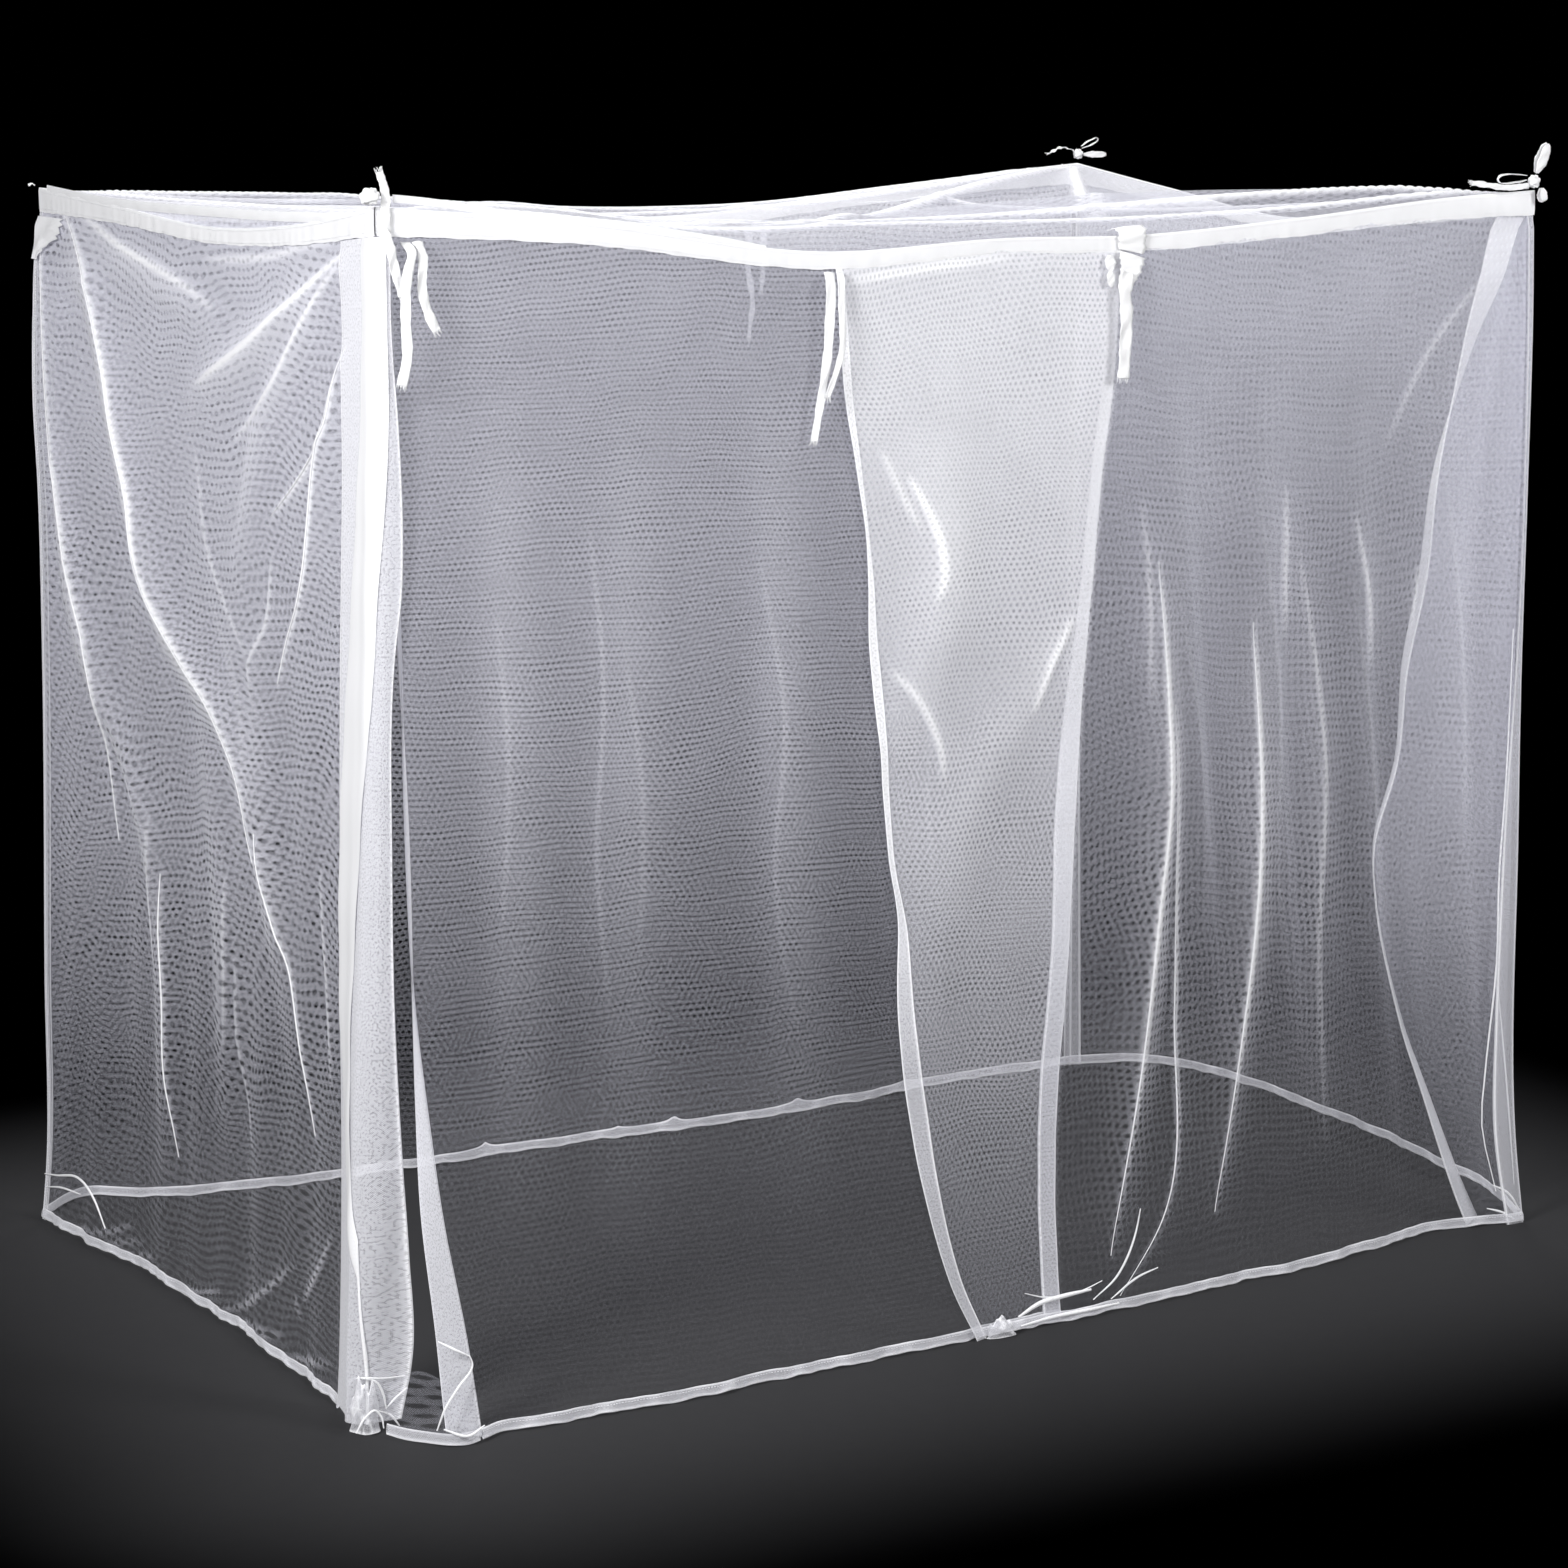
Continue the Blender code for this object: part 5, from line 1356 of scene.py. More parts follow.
def make_stitches():
    tree, sockets = stitch_tree()
    rows = [tape_seam(side, down) for side in SIDES for down in (0.14, 0.84)]
    stitch_rows("tape_stitches", "net_top", rows, tree, sockets)
    inner, outer = STITCH_STAND - DOOR_GAP / 2, STITCH_STAND + DOOR_GAP / 2
    door_edges = (SLIT_EDGE, INNER_DOOR_EDGE, OUTER_DOOR_EDGE)
    slit, edge_in, edge_out = (float(value_at(points, 1.0)) for points in door_edges)
    down = np.linspace(0.004, 0.985, SEAM_POINTS)
    back_seam = np.full(SEAM_POINTS, 1 - BACK_CORNER_HEM / WIDTH)
    seam_in = value_at(INNER_DOOR_EDGE, down) - value_at(INNER_DOOR_HEM, down) / LENGTH * SEAM_SHARE
    seam_out = (
        value_at(OUTER_DOOR_EDGE, down) + value_at(OUTER_DOOR_HEM, down) / LENGTH * SEAM_SHARE
    )
    seams = {
        "left_curtain": [
            hem_row("left", 0.07, 0.999, 0.0016), wall_point("left", back_seam, down, 0.0018)
        ],
        "back_curtain": [hem_row("back", 0.001, 0.999, 0.0016)],
        "right_curtain": [hem_row("right", 0.001, 0.999, 0.0016)],
        "inner_curtain": [
            hem_row("front", slit, edge_in, inner), wall_point("front", seam_in, down, inner)
        ],
        "outer_curtain": [
            hem_row("front", edge_out, 0.998, outer), wall_point("front", seam_out, down, outer)
        ],
    }
    for body, paths in seams.items():
        stitch_rows(body + "_stitches", body, paths, tree, sockets)


def foot_place(side, t, push):
    return foot_line(side, np.array(t)) - CENTRE + push * outwards(side)


def make_floor_folds():
    """Hem ends that lie bunched on the floor, and the sharp folds beside them."""
    near = foot_place("left", 0.0, 0.0) + np.array([0.006, -0.028, 0.0])
    crumple(
        "near_corner_foot_fold", "=left_curtain", near, (0.040, 0.014, 0.066), -120, 3,
        folds=0.9,
    )
    door = foot_place("front", 0.482, 0.008)
    crumple(
        "door_foot_fold", "=outer_curtain", door, (0.046, 0.011, 0.026), -90, 5,
        folds=0.6,
    )
    fold_line("near_corner_foot_lines", "=left_curtain", "leg", (
        (
            0.0032, 0.001, ("left", 0.034, 0.980), ("left", 0.010, 0.962), (0.004, 0.953),
            (0.030, 0.956), (0.062, 0.957),
        ),
        (0.0036, 0.002, (0.004, 0.953), (0.020, 0.958), (0.031, 0.970), (0.036, 0.983)),
        (0.0030, 0.001, (0.036, 0.983), (0.052, 0.974), (0.066, 0.968)),
        (
            0.0032, 0.018, (-0.014, 0.996), (-0.002, 0.984), (0.012, 0.979), (0.022, 0.986),
            (0.026, 0.996),
        ),
        (0.0040, 0.004, ("left", 0.026, 0.995), ("left", 0.010, 0.985), (0.000, 0.980)),
        (0.0034, 0.0, (0.026, 0.984), (0.044, 0.990), (0.058, 1.001)),
    ))
    fold_line("inner_door_strip_lines", "=inner_curtain", "front", (
        (0.0034, 0.004, (0.032, 0.911), (0.042, 0.918), (0.051, 0.924)),
        (
            0.0036, 0.004, (0.051, 0.924), (0.053, 0.930), (0.042, 0.950), (0.035, 0.967),
            (0.031, 0.986),
        ),
        (0.0040, 0.005, (0.034, 0.984), (0.048, 0.990), (0.062, 0.985)),
    ))
    fold_line("door_foot_lines", "=outer_curtain", "front", (
        (0.0070, 0.010, (0.498, 0.985), (0.521, 0.976), (0.536, 0.974), (0.563, 0.972)),
        (0.0060, 0.010, (0.500, 0.994), (0.530, 0.992), (0.560, 0.991), (0.590, 0.992)),
        (0.0026, 0.006, (0.506, 0.965), (0.525, 0.973), (0.553, 0.973), (0.575, 0.967)),
        (
            0.0032, 0.004, (0.612, 0.905), (0.608, 0.926), (0.602, 0.944), (0.590, 0.966),
            (0.567, 0.984),
        ),
        (0.0032, 0.004, (0.628, 0.966), (0.609, 0.971), (0.585, 0.988)),
        (0.0034, 0.004, (0.968, 0.982), (0.980, 0.987), (0.992, 0.997)),
        (0.0036, 0.004, (0.974, 0.958), (0.985, 0.966), (0.996, 0.986)),
    ))
    fold_line("outer_door_corner_lines", "outer_curtain", "front", (
        (
            0.0030, 0.002, (0.990, 0.400), (0.985, 0.569), (0.981, 0.639), (0.981, 0.729),
            (0.972, 0.840), (0.968, 0.890), (0.977, 0.965),
        ),
        (0.0026, 0.002, (0.983, 0.760), (0.992, 0.852), (0.994, 0.960)),
    ))
    fold_line("far_left_foot_lines", "=left_curtain", "left", (
        (
            0.0040, 0.003, (0.998, 0.954), (0.953, 0.948), (0.890, 0.940), (0.830, 0.952),
            (0.800, 0.975),
        ),
        (0.0034, 0.003, (0.990, 0.966), (0.933, 0.957), (0.880, 0.955)),
    ))


def make_ridges():
    ridge_lines(
        "left_crease_ridges", "left_curtain", "left", (0, 1, 5, 6, 11, 14)
    )
    ridge_lines(
        "outer_door_crease_ridges", "outer_curtain", "front", (0, 1, 2, 6)
    )


def hang_net(wall, body, side, low, high, width, **settings):
    """A curtain's net, hung from the tape."""
    net = net_panel(wall + "_net", side, low, high, **settings)
    place(net, body, [wall], (width, HEIGHT))


def hang_band(name, node, body, side, low, high, **settings):
    """One upright hem of a curtain."""
    band = folded_band(name, side, low, high, **settings)
    place(
        band, body, [node], upright_hem_flat(side, low, high)
    )


def hang_hem(wall, body, side, low, high, **settings):
    """A curtain's hem along the floor, which keeps its form when the curtain lifts."""
    hem = bottom_hem(wall + "_hem_roll", side, low, high, **settings)
    place(
        hem, "=" + body, [wall + "_bottom_hem"], hem_flat(side, low, high),
    )


def make_left_curtain():
    body, side, wall = "left_curtain", "left", "left_wall"
    low, high = shifted(straight_edge(0.0), STRIP_BACK, side), straight_edge(1 - CORNER_GAP / WIDTH)
    seam = shifted(high, -BACK_CORNER_HEM, side)
    hang_net(wall, body, side, low, seam, WIDTH - 0.10, finish="left_net")
    hang_band(
        "left_wall_back_hem_band", "left_wall_back_hem", body, side, seam, high, finish="seam_net"
    )
    hang_hem(wall, body, side, low, high)


def make_back_curtain():
    body, side, wall = "back_curtain", "back", "back_wall"
    low, high = straight_edge(CORNER_GAP / LENGTH), straight_edge(1 - CORNER_GAP / LENGTH)
    left_seam = shifted(low, BACK_CORNER_HEM, side)
    right_seam = shifted(high, -BACK_CORNER_HEM, side)
    hang_net(
        wall, body, side, left_seam, right_seam, LENGTH, step=0.0055, finish="back_net", rows=180
    )
    hang_band(
        "back_wall_left_hem_band", "back_wall_left_hem", body, side, low, left_seam, edge_at="low",
        finish="seam_net",
    )
    hang_band(
        "back_wall_right_hem_band", "back_wall_right_hem", body, side, right_seam, high,
        finish="seam_net",
    )
    hang_hem(wall, body, side, low, high, peaks=BACK_HEM_PEAKS)


def make_right_curtain():
    body, side, wall = "right_curtain", "right", "right_wall"
    low, high = straight_edge(CORNER_GAP / WIDTH), straight_edge(1 - CORNER_GAP / WIDTH)
    seam = shifted(high, -BACK_CORNER_HEM, side)
    hang_net(wall, body, side, low, seam, WIDTH, step=0.0045, finish="right_net")
    hang_band(
        "right_wall_back_hem_band", "right_wall_back_hem", body, side, seam, high, finish="seam_net"
    )
    hang_hem(wall, body, side, low, high)


def turned_rail(rail, rows, width, turn, way):
    """A hem's other rail: it leaves the front at an angle, 90 degrees being straight inwards."""
    angle = np.radians(value_at(turn, rows))
    other = rail.copy()
    other[:, 0] += way * width * np.cos(angle)
    other[:, 1] += width * np.sin(angle)
    return other


def strip_between(name, rails, finish, across=8, fold_first=True, upper=0.0):
    """Double strip of net through several rails, with its fold along the first or the last."""
    rails = np.stack(rails, axis=1)
    if fold_first:
        rails = rails[:, ::-1]
    reach = reach_along(rails[len(rails) // 2])
    u = np.linspace(0, 1, across * (rails.shape[1] - 1) + 1)
    u = reach[-1] * np.unique(np.concatenate([u, EDGE_COLUMNS]))
    smooth = np.stack([curve_through(reach, row, u) for row in rails])
    along = np.gradient(smooth, axis=0)
    cross = np.gradient(smooth, axis=1)
    normal = np.cross(cross, along)
    normal /= np.maximum(np.linalg.norm(normal, axis=-1, keepdims=True), 1e-9)
    down = np.linspace(0, 1, len(rails))
    front, back = smooth + normal * LAYER_GAP, smooth - normal * LAYER_GAP
    loop = np.concatenate([front, smooth[:, -1:] + cross[:, -1:] * 0.02, back[:, ::-1]], axis=1)
    width = np.concatenate([u, [reach[-1] + 0.001], u[::-1]])
    drop = reach_along(smooth[:, 0])
    places = places_on_cloth(width[None, :], drop[:, None])
    share_loop = width / reach[-1]
    layers_and_highlight = FOLD_DENSITY * bell(share_loop - 1, 0.014) + bell(share_loop, 0.014)
    fuller = upper * ramp(0.30 - down, 0.12)
    return cloth_object(name, loop, places, finish, layers_and_highlight[None, :] + fuller[:, None])


def make_near_corner_strip():
    """The left curtain's double strip round the near corner, and the white fold in it."""
    v = np.linspace(0.0, 0.995, STRIP_ROWS)
    back = value_at(STRIP_BACK, v) / WIDTH
    leg = value_at(STRIP_LEG, v)
    corner = wall_point("left", np.zeros(len(v)), v)
    rails = [wall_point("left", back * s, v, 0.004 * (1 - s)) for s in (1.0, 0.66, 0.33)]
    rails.append(corner + np.array([-0.004, -0.008, 0]))
    for share, out in ((0.12, 0.8), (0.5, 0.96), (1.0, 1.0)):
        rail = corner + np.array([0, -STRIP_STAND * out, 0])
        rail[:, 0] += leg * share
        rails.append(rail)
    strip = strip_between("near_corner_strip_net", rails, "strip_net", across=5, fold_first=False)
    place(
        strip, "left_curtain", ["near_corner_strip"], (NEAR_STRIP_CUT, HEIGHT),
    )
    rails = np.stack(rails, axis=1)
    reach = reach_along(rails[len(rails) // 2])
    left, right = value_at(FOLD_BAND_LEFT, v), value_at(FOLD_BAND_RIGHT, v)
    grid = np.empty((STRIP_ROWS, FOLD_COLUMNS, 3))
    for r in range(STRIP_ROWS):
        at = np.interp(np.linspace(left[r], right[r], FOLD_COLUMNS), range(len(reach)), reach)
        grid[r] = curve_through(reach, rails[r], at)
    normal = lengthwise(np.cross(np.gradient(grid, axis=1), np.gradient(grid, axis=0)))
    normal *= np.sign(normal @ np.array([-1.0, -1.0, 0.0]))[..., None]
    bulge = np.sin(np.linspace(0, math.pi, FOLD_COLUMNS)) ** 0.5
    grid += normal * (0.0026 + 0.0016 * bulge + 0.0006 * np.sin(v * 70)[:, None])[..., None]
    wide = np.linalg.norm(grid[:, -1] - grid[:, 0], axis=-1)
    places = places_on_cloth(np.linspace(0, 0.03, FOLD_COLUMNS)[None, :], v[:, None] * HEIGHT)
    fold = cloth_object("near_corner_strip_fold", grid, places, "fold_net", out=(-1, -1, 0))
    place(
        fold, "left_curtain", (), (float(wide.mean()), HEIGHT),
    )


def make_near_gusset():
    """The gusset across the foot of the slit, and its hem."""
    stand = -DOOR_GAP / 2
    share = np.linspace(0, 1, 30)[None, :]
    end = float(value_at(SLIT_EDGE, 0.965)) - SLIT_GAP / LENGTH
    t = GUSSET_START + (end - GUSSET_START) * share
    top = value_at(GUSSET_TOP, t)
    v = top + (FOOT_V - top) * np.linspace(0, 1, 24)[:, None]
    points = wall_point("front", np.broadcast_to(t, v.shape), v, stand)
    places = places_on_cloth(t * LENGTH, points[..., 2])
    gusset = cloth_object("near_gusset_net", points, places, "left_net", cover_scale=0.4, out=(0, -1, 0))
    place(
        gusset, "=left_curtain", ["near_corner_gusset"], GUSSET_CUT,
    )
    low = straight_edge(GUSSET_START)
    high = straight_edge(float(value_at(SLIT_EDGE, 1.0)) - SLIT_GAP / LENGTH)
    hem = bottom_hem("near_gusset_hem_roll", "front", low, high, stand)
    place(
        hem, "=left_curtain", ["near_corner_gusset_hem"], hem_flat("front", low, high),
    )


def make_back_corner_patch():
    """Ragged patch that strengthens the top of the left curtain's far corner."""
    v = np.linspace(0.003, 0.044, 16)[:, None]
    widths = value_at(PATCH_WIDTHS, v)
    share = np.linspace(0, 1, 18)[None, :]
    ragged = 1 + 0.10 * np.sin(v * 900) * share
    t = 1 - (0.004 + widths * share * ragged) / WIDTH
    points = wall_point("left", t, v + 0 * t, 0.006 + 0.0012 * np.sin(share * 9 + v * 160))
    places = places_on_cloth(t * WIDTH, points[..., 2])
    patch = cloth_object("back_corner_patch_cloth", points, places, "tape", out=(-1, 0, 0))
    place(
        patch, "left_curtain", ["back_corner_patch"], PATCH_CUT,
    )


def make_front_curtains():
    """The inner curtain hangs at the left, and the outer one covers its free edge."""
    side = "front"
    inner, outer = -DOOR_GAP / 2, DOOR_GAP / 2
    slit, high = edge(SLIT_EDGE), edge(INNER_DOOR_EDGE)
    seam = shifted(high, negative(INNER_DOOR_HEM), side)
    wall, body = "inner_door", "inner_curtain"
    hang_net(wall, body, side, slit, seam, INNER_DOOR_CUT, stand=inner)
    hang_band(
        "inner_door_edge_band", "inner_door_edge_hem", body, side, seam, high, stand=inner,
        **DOOR_HEM,
    )
    hang_hem(wall, body, side, slit, high, stand=inner)
    rows = np.linspace(0.0, 1 - BOTTOM_HEM / HEIGHT * 0.4, STRIP_ROWS)
    start = wall_point(side, slit(rows), rows, inner)
    free = turned_rail(start, rows, TURNED_HEM, SLIT_TURN, -1)
    strip = strip_between("inner_door_corner_strip", [free, (start + free) / 2, start], "strip_net")
    place(
        strip, body, ["inner_door_corner_hem"], (2 * TURNED_HEM, HEIGHT),
    )
    low, high = edge(OUTER_DOOR_EDGE), straight_edge(1 - TAPE_GAP * 2 / LENGTH)
    low_seam = shifted(low, OUTER_DOOR_HEM, side)
    high_seam = shifted(high, negative(OUTER_CORNER_HEM), side)
    wall, body = "outer_door", "outer_curtain"
    hang_net(
        wall, body, side, low_seam, high_seam, OUTER_DOOR_CUT, stand=outer, finish="outer_net",
        fuller=overlap,
    )
    hang_band(
        "outer_door_edge_band", "outer_door_edge_hem", body, side, low, low_seam, stand=outer,
        edge_at="low", **DOOR_HEM,
    )
    hang_band(
        "outer_door_corner_band", "outer_door_corner_hem", body, side, high_seam, high, stand=outer,
        finish="seam_net",
    )
    hang_hem(wall, body, side, low, high, stand=outer)


def overlap(v, t):
    """How much fuller the outer curtain looks where it covers the inner one's edge."""
    layers = 0.60 + 0.16 * ramp(v - 0.45, 0.3)
    return layers * ramp(value_at(INNER_DOOR_EDGE, v) - t, 0.004)


def make_flap():
    """The right curtain turns the front corner as a flap behind the outer front curtain."""
    rows = np.linspace(-0.002, 1.0, STRIP_ROWS)
    stand = DOOR_GAP / 2 - FLAP_GAP
    free = wall_point("front", value_at(FLAP_EDGE, rows), rows, stand)
    seam = turned_rail(free, rows, FLAP_HEM, FLAP_TURN, 1)
    # upper=2.2 paints the top of this double strip denser and whiter, as painted light where it
    # faces away from the lamps
    strip = strip_between(
        "right_flap_strip", [free, (free + seam) / 2, seam], "flap_net", upper=2.2
    )
    place(
        strip, "right_curtain", ["right_flap_hem"], (2 * FLAP_HEM, HEIGHT),
    )
    near = wall_point("front", np.full(len(rows), 1 - TAPE_GAP * 2 / LENGTH), rows, stand)
    share = np.linspace(0, 1, 26)[None, :, None]
    points = seam[:, None] + (near - seam)[:, None] * share
    places = places_on_cloth(points[..., 0], points[..., 2])
    cover_scale = value_at(COVER_BY_HEIGHT, places[..., 1])
    flap = cloth_object("right_flap_net", points, places, "right_net", cover_scale=cover_scale, out=(0, -1, 0))
    place(
        flap, "right_curtain", ["right_flap"], (FLAP_CUT, HEIGHT),
    )


def make_roof():
    inset = 0.0005
    x = np.linspace(-LENGTH / 2 + inset, LENGTH / 2 - inset, 291)[None, :]
    y = np.linspace(-WIDTH / 2 + inset, WIDTH / 2 - inset, 187)[:, None]
    x, y = np.broadcast_arrays(x, y)
    points = roof_point(x, y)
    rise, layers_and_highlight = roof_crease(x, y)
    points[..., 2] += rise - TAPE_GAP
    obj = cloth_object(
        "roof_net_sheet", points, places_on_cloth(x, y), "roof_net", layers_and_highlight, out=(0, 0, 1)
    )
    place(
        obj, "net_top", ["roof_panel"], (LENGTH, WIDTH),
    )


# Section of the folded tape: shares of its height down and of half its thickness outwards
TAPE_SECTION = (
    (1.0, 0.7), (0.75, 1.0), (0.5, 1.0), (0.25, 1.0), (0.08, 0.9), (0.0, 0.55), (-0.02, 0.0),
    (0.0, -0.55), (0.08, -0.9), (0.25, -1.0), (0.5, -1.0), (0.75, -1.0), (0.94, -0.7),
)
TAPE_HALF = 0.0021


def make_tape(side):
    """Binding tape folded over the seam of the roof and one side."""
    inset = 0.0015 / side_length(side) if side in ("left", "right") else 0.0
    t = np.linspace(inset, 1 - inset, round(side_length(side) / 0.005) + 1)[:, None]
    down, layer = np.array(TAPE_SECTION).T[:, None]
    line = tape_line(side, t + 0 * down)
    out = outwards(side)
    a = t * side_length(side)
    pucker, edge_wave = waves(a, TAPE_PUCKER), waves(a, TAPE_EDGE)
    line[..., 2] -= tape_height(t) * down + edge_wave * np.clip(down - 0.4, 0, 1)
    push = TAPE_HALF * layer + pucker * np.minimum(1, down + 0.3) * np.sign(layer)
    points = line + out * push[..., None] - CENTRE
    places = places_on_cloth(a, np.cumsum(np.full(len(TAPE_SECTION), 0.005))[None, :])
    obj = cloth_object(side + "_tape_band", points, places, "tape")
    height = float(np.mean(tape_height(t)))
    place(
        obj, "net_top", [side + "_tape"], (2 * height, side_length(side)),
    )


def make_roof_edge(name, side, t, top, height):
    """Taut seam of the roof above a sagging tape, and the net that hangs from it to the tape."""
    out = outwards(side)
    t = t[:, None]
    line = tape_line(side, t) - CENTRE
    line[..., 2] = np.maximum(value_at(top, t), line[..., 2])
    a = t * side_length(side)
    down = np.array([[0.0, 0.15, 0.5, 0.85, 1.0]])
    bulge = 0.0008 + 0.0012 * np.sin(math.pi * down) + 0.0007 * np.sin(a * 90) * down
    band = line - np.array([0, 0, height]) * down[..., None] + out * bulge[..., None]
    places = places_on_cloth(a, down * height)
    obj = cloth_object(name + "_seam", band, places, "tape", out=out)
    length = float(a.max() - a.min())
    place(obj, "net_top", (), (height, length))
    lower = tape_line(side, t) - CENTRE
    lower[..., 2] -= 0.001
    upper = line.copy()
    upper[..., 2] -= height * 0.8
    upper[..., 2] = np.maximum(upper[..., 2], lower[..., 2] + 0.0005)
    down = np.linspace(0, 1, 9)[None, :, None]
    web = upper + (lower - upper) * down - out * (0.004 * np.sin(math.pi * down))
    places = places_on_cloth(a, web[..., 2])
    obj = cloth_object(name + "_web", web, places, "left_net", out=out)
    deep = float(np.mean(upper[..., 2] - lower[..., 2]))
    place(
        obj, "net_top", (), (max(LEAST_CUT, deep), length),
    )


# How square a pulled knot is, less being squarer
KNOT_SQUARENESS = 0.75

# Loose threads at a cut end, the ribbon's thickness, how much its width varies, and its
# faces across
FRAY_THREADS = 11
FRAY_LENGTH = 0.010
FRAY_RADIUS = 0.00026
RIBBON_THICK = 0.0007
RIBBON_UNEVEN = 0.10
RIBBON_COLUMNS = 9


def frayed_end(bm, tip, run, across, width, seed):
    """Loose threads at a ribbon's cut end."""
    rng = np.random.default_rng(seed)
    run = run / np.linalg.norm(run)
    across = across / np.linalg.norm(across)
    out = np.cross(run, across)
    for i in range(FRAY_THREADS):
        start = tip + across * width * (i / (FRAY_THREADS - 1) - 0.5) * 0.94 - run * 0.002
        lean = across * rng.uniform(-0.35, 0.35) + out * rng.uniform(-0.35, 0.35) + run
        reach = FRAY_LENGTH * rng.uniform(0.45, 1.0)
        curl = (across * rng.uniform(-1, 1) + out * rng.uniform(-1, 1)) * 0.25
        rings = []
        for k in range(5):
            s = k / 4
            middle = start + lean * reach * s + curl * reach * s * s
            radius = FRAY_RADIUS * (1 - 0.5 * s)
            ring = []
            for corner in range(3):
                turn = corner * 2 * math.pi / 3
                sideways = across * math.cos(turn) + out * math.sin(turn)
                ring.append(bm.verts.new(middle + sideways * radius))
            rings.append(ring)
        for lower, upper in zip(rings[:-1], rings[1:]):
            for corner in range(3):
                after = (corner + 1) % 3
                bm.faces.new((lower[corner], lower[after], upper[after], upper[corner]))
        bm.faces.new(rings[-1])
        bm.faces.new(rings[0][::-1])


def ribbon(name, points, across, width, cup=0.12, wave=0.0, frayed=True, seed=1, leaf=False):
    """Flat woven ribbon along a path, a little cupped across, with loose threads at its end.

    across is its direction from edge to edge at its start and its end, and width may be a
    pair too. leaf narrows it at both ends, as a bow's loop is.
    """
    steps, columns = 60, RIBBON_COLUMNS
    path, reach = smooth_path(points, steps)
    start, end = (np.array(a, float) / np.linalg.norm(a) for a in across)
    first, last = width if isinstance(width, tuple) else (width, width)
    grid = np.empty((steps + 1, columns, 3))
    run = np.gradient(path, axis=0)
    for i, p in enumerate(path):
        s = i / steps
        direction = start + (end - start) * s
        forward = run[i] / np.linalg.norm(run[i])
        direction -= forward * (direction @ forward)
        direction /= np.linalg.norm(direction)
        out = np.cross(forward, direction)
        wide = first + (last - first) * s
        uneven = 0.6 * math.sin(s * 29 + 2 * seed) + 0.4 * math.sin(s * 61 + seed)
        wide *= 1 + RIBBON_UNEVEN * uneven
        if leaf:
            wide *= 0.30 + 0.70 * math.sin(math.pi * min(0.97, 1 - abs(2 * s - 1))) ** 0.8
        q = np.linspace(-1, 1, columns)
        bow = cup * wide * (1 - q * q) * math.sin(s * 9 + seed) + wave * math.sin(s * 23 + seed) * q
        bow += 0.035 * min(wide, 0.012) * np.sin(q * 3 + s * 21 + seed)
        grid[i] = p + direction * (q * wide / 2)[:, None] + out * bow[:, None]
    places = places_on_cloth(reach[:, None], np.linspace(0, max(first, last), columns)[None, :])
    obj = cloth_object(name, grid, places, "ribbon")
    if frayed:
        bm = bmesh.new()
        bm.from_mesh(obj.data)
        frayed_end(bm, path[-1], path[-1] - path[-3], grid[-1, -1] - grid[-1, 0], last, seed)
        bm.to_mesh(obj.data)
        bm.free()
        obj.data.shade_smooth()
    solid = obj.modifiers.new("thickness", "SOLIDIFY")
    solid.thickness = RIBBON_THICK
    solid.offset = 0.0
    return obj


def knot(name, centre, size, seed=0):
    """Pulled knot of ribbon: a lump whose turns show as ridges."""
    rings, around = 28, 40
    theta = np.linspace(0.0, math.pi, rings + 1)[1:-1, None]
    phi = np.linspace(0, 2 * math.pi, around, endpoint=False)[None, :]
    ridge = (
        1
        + 0.10 * np.sin(3 * theta * 2 + 2 * phi + seed)
        + 0.06 * np.sin(5 * phi - 3 * theta + 2 * seed)
    )
    half = np.array(size, float) / 2 * 0.98
    sin_theta, cos_theta, sin_phi, cos_phi = (
        np.sign(c) * np.abs(c) ** KNOT_SQUARENESS
        for c in (np.sin(theta), np.cos(theta), np.sin(phi), np.cos(phi))
    )
    unit = np.stack([sin_theta * cos_phi, sin_theta * sin_phi, cos_theta + 0 * phi], axis=-1)
    points = np.array(centre) + unit * ridge[..., None] * half
    places = places_on_cloth(phi * size[0] / 2, theta * size[2] / 2)
    obj = cloth_object(name, points, places, "ribbon", closed=True)
    bm = bmesh.new()
    bm.from_mesh(obj.data)
    verts = list(bm.verts)
    for pole, first in ((1, 0), (-1, (rings - 2) * around)):
        tip = bm.verts.new(np.array(centre) + np.array([0, 0, pole * half[2]]))
        for i in range(around):
            bm.faces.new((verts[first + i], verts[first + (i + 1) % around], tip))
    bmesh.ops.recalc_face_normals(bm, faces=bm.faces)
    bm.to_mesh(obj.data)
    bm.free()
    obj.data.shade_smooth()
    return obj


def offset_from(corner, dx, dy, dz):
    return corner_top(corner) - CENTRE + np.array([dx, dy, dz])


def around(corner, offsets):
    return [offset_from(corner, *offset) for offset in offsets]


def tie(name, node, body, points, across, width, hangs_from, held="hung", **settings):
    """One ribbon piece that stands for one solid."""
    obj = ribbon(name, points, across, width, **settings)
    mean = sum(width) / 2 if isinstance(width, tuple) else width
    flat = (max(LEAST_CUT, mean), max(LEAST_CUT, path_length(points)))
    place(obj, body, [node], flat)


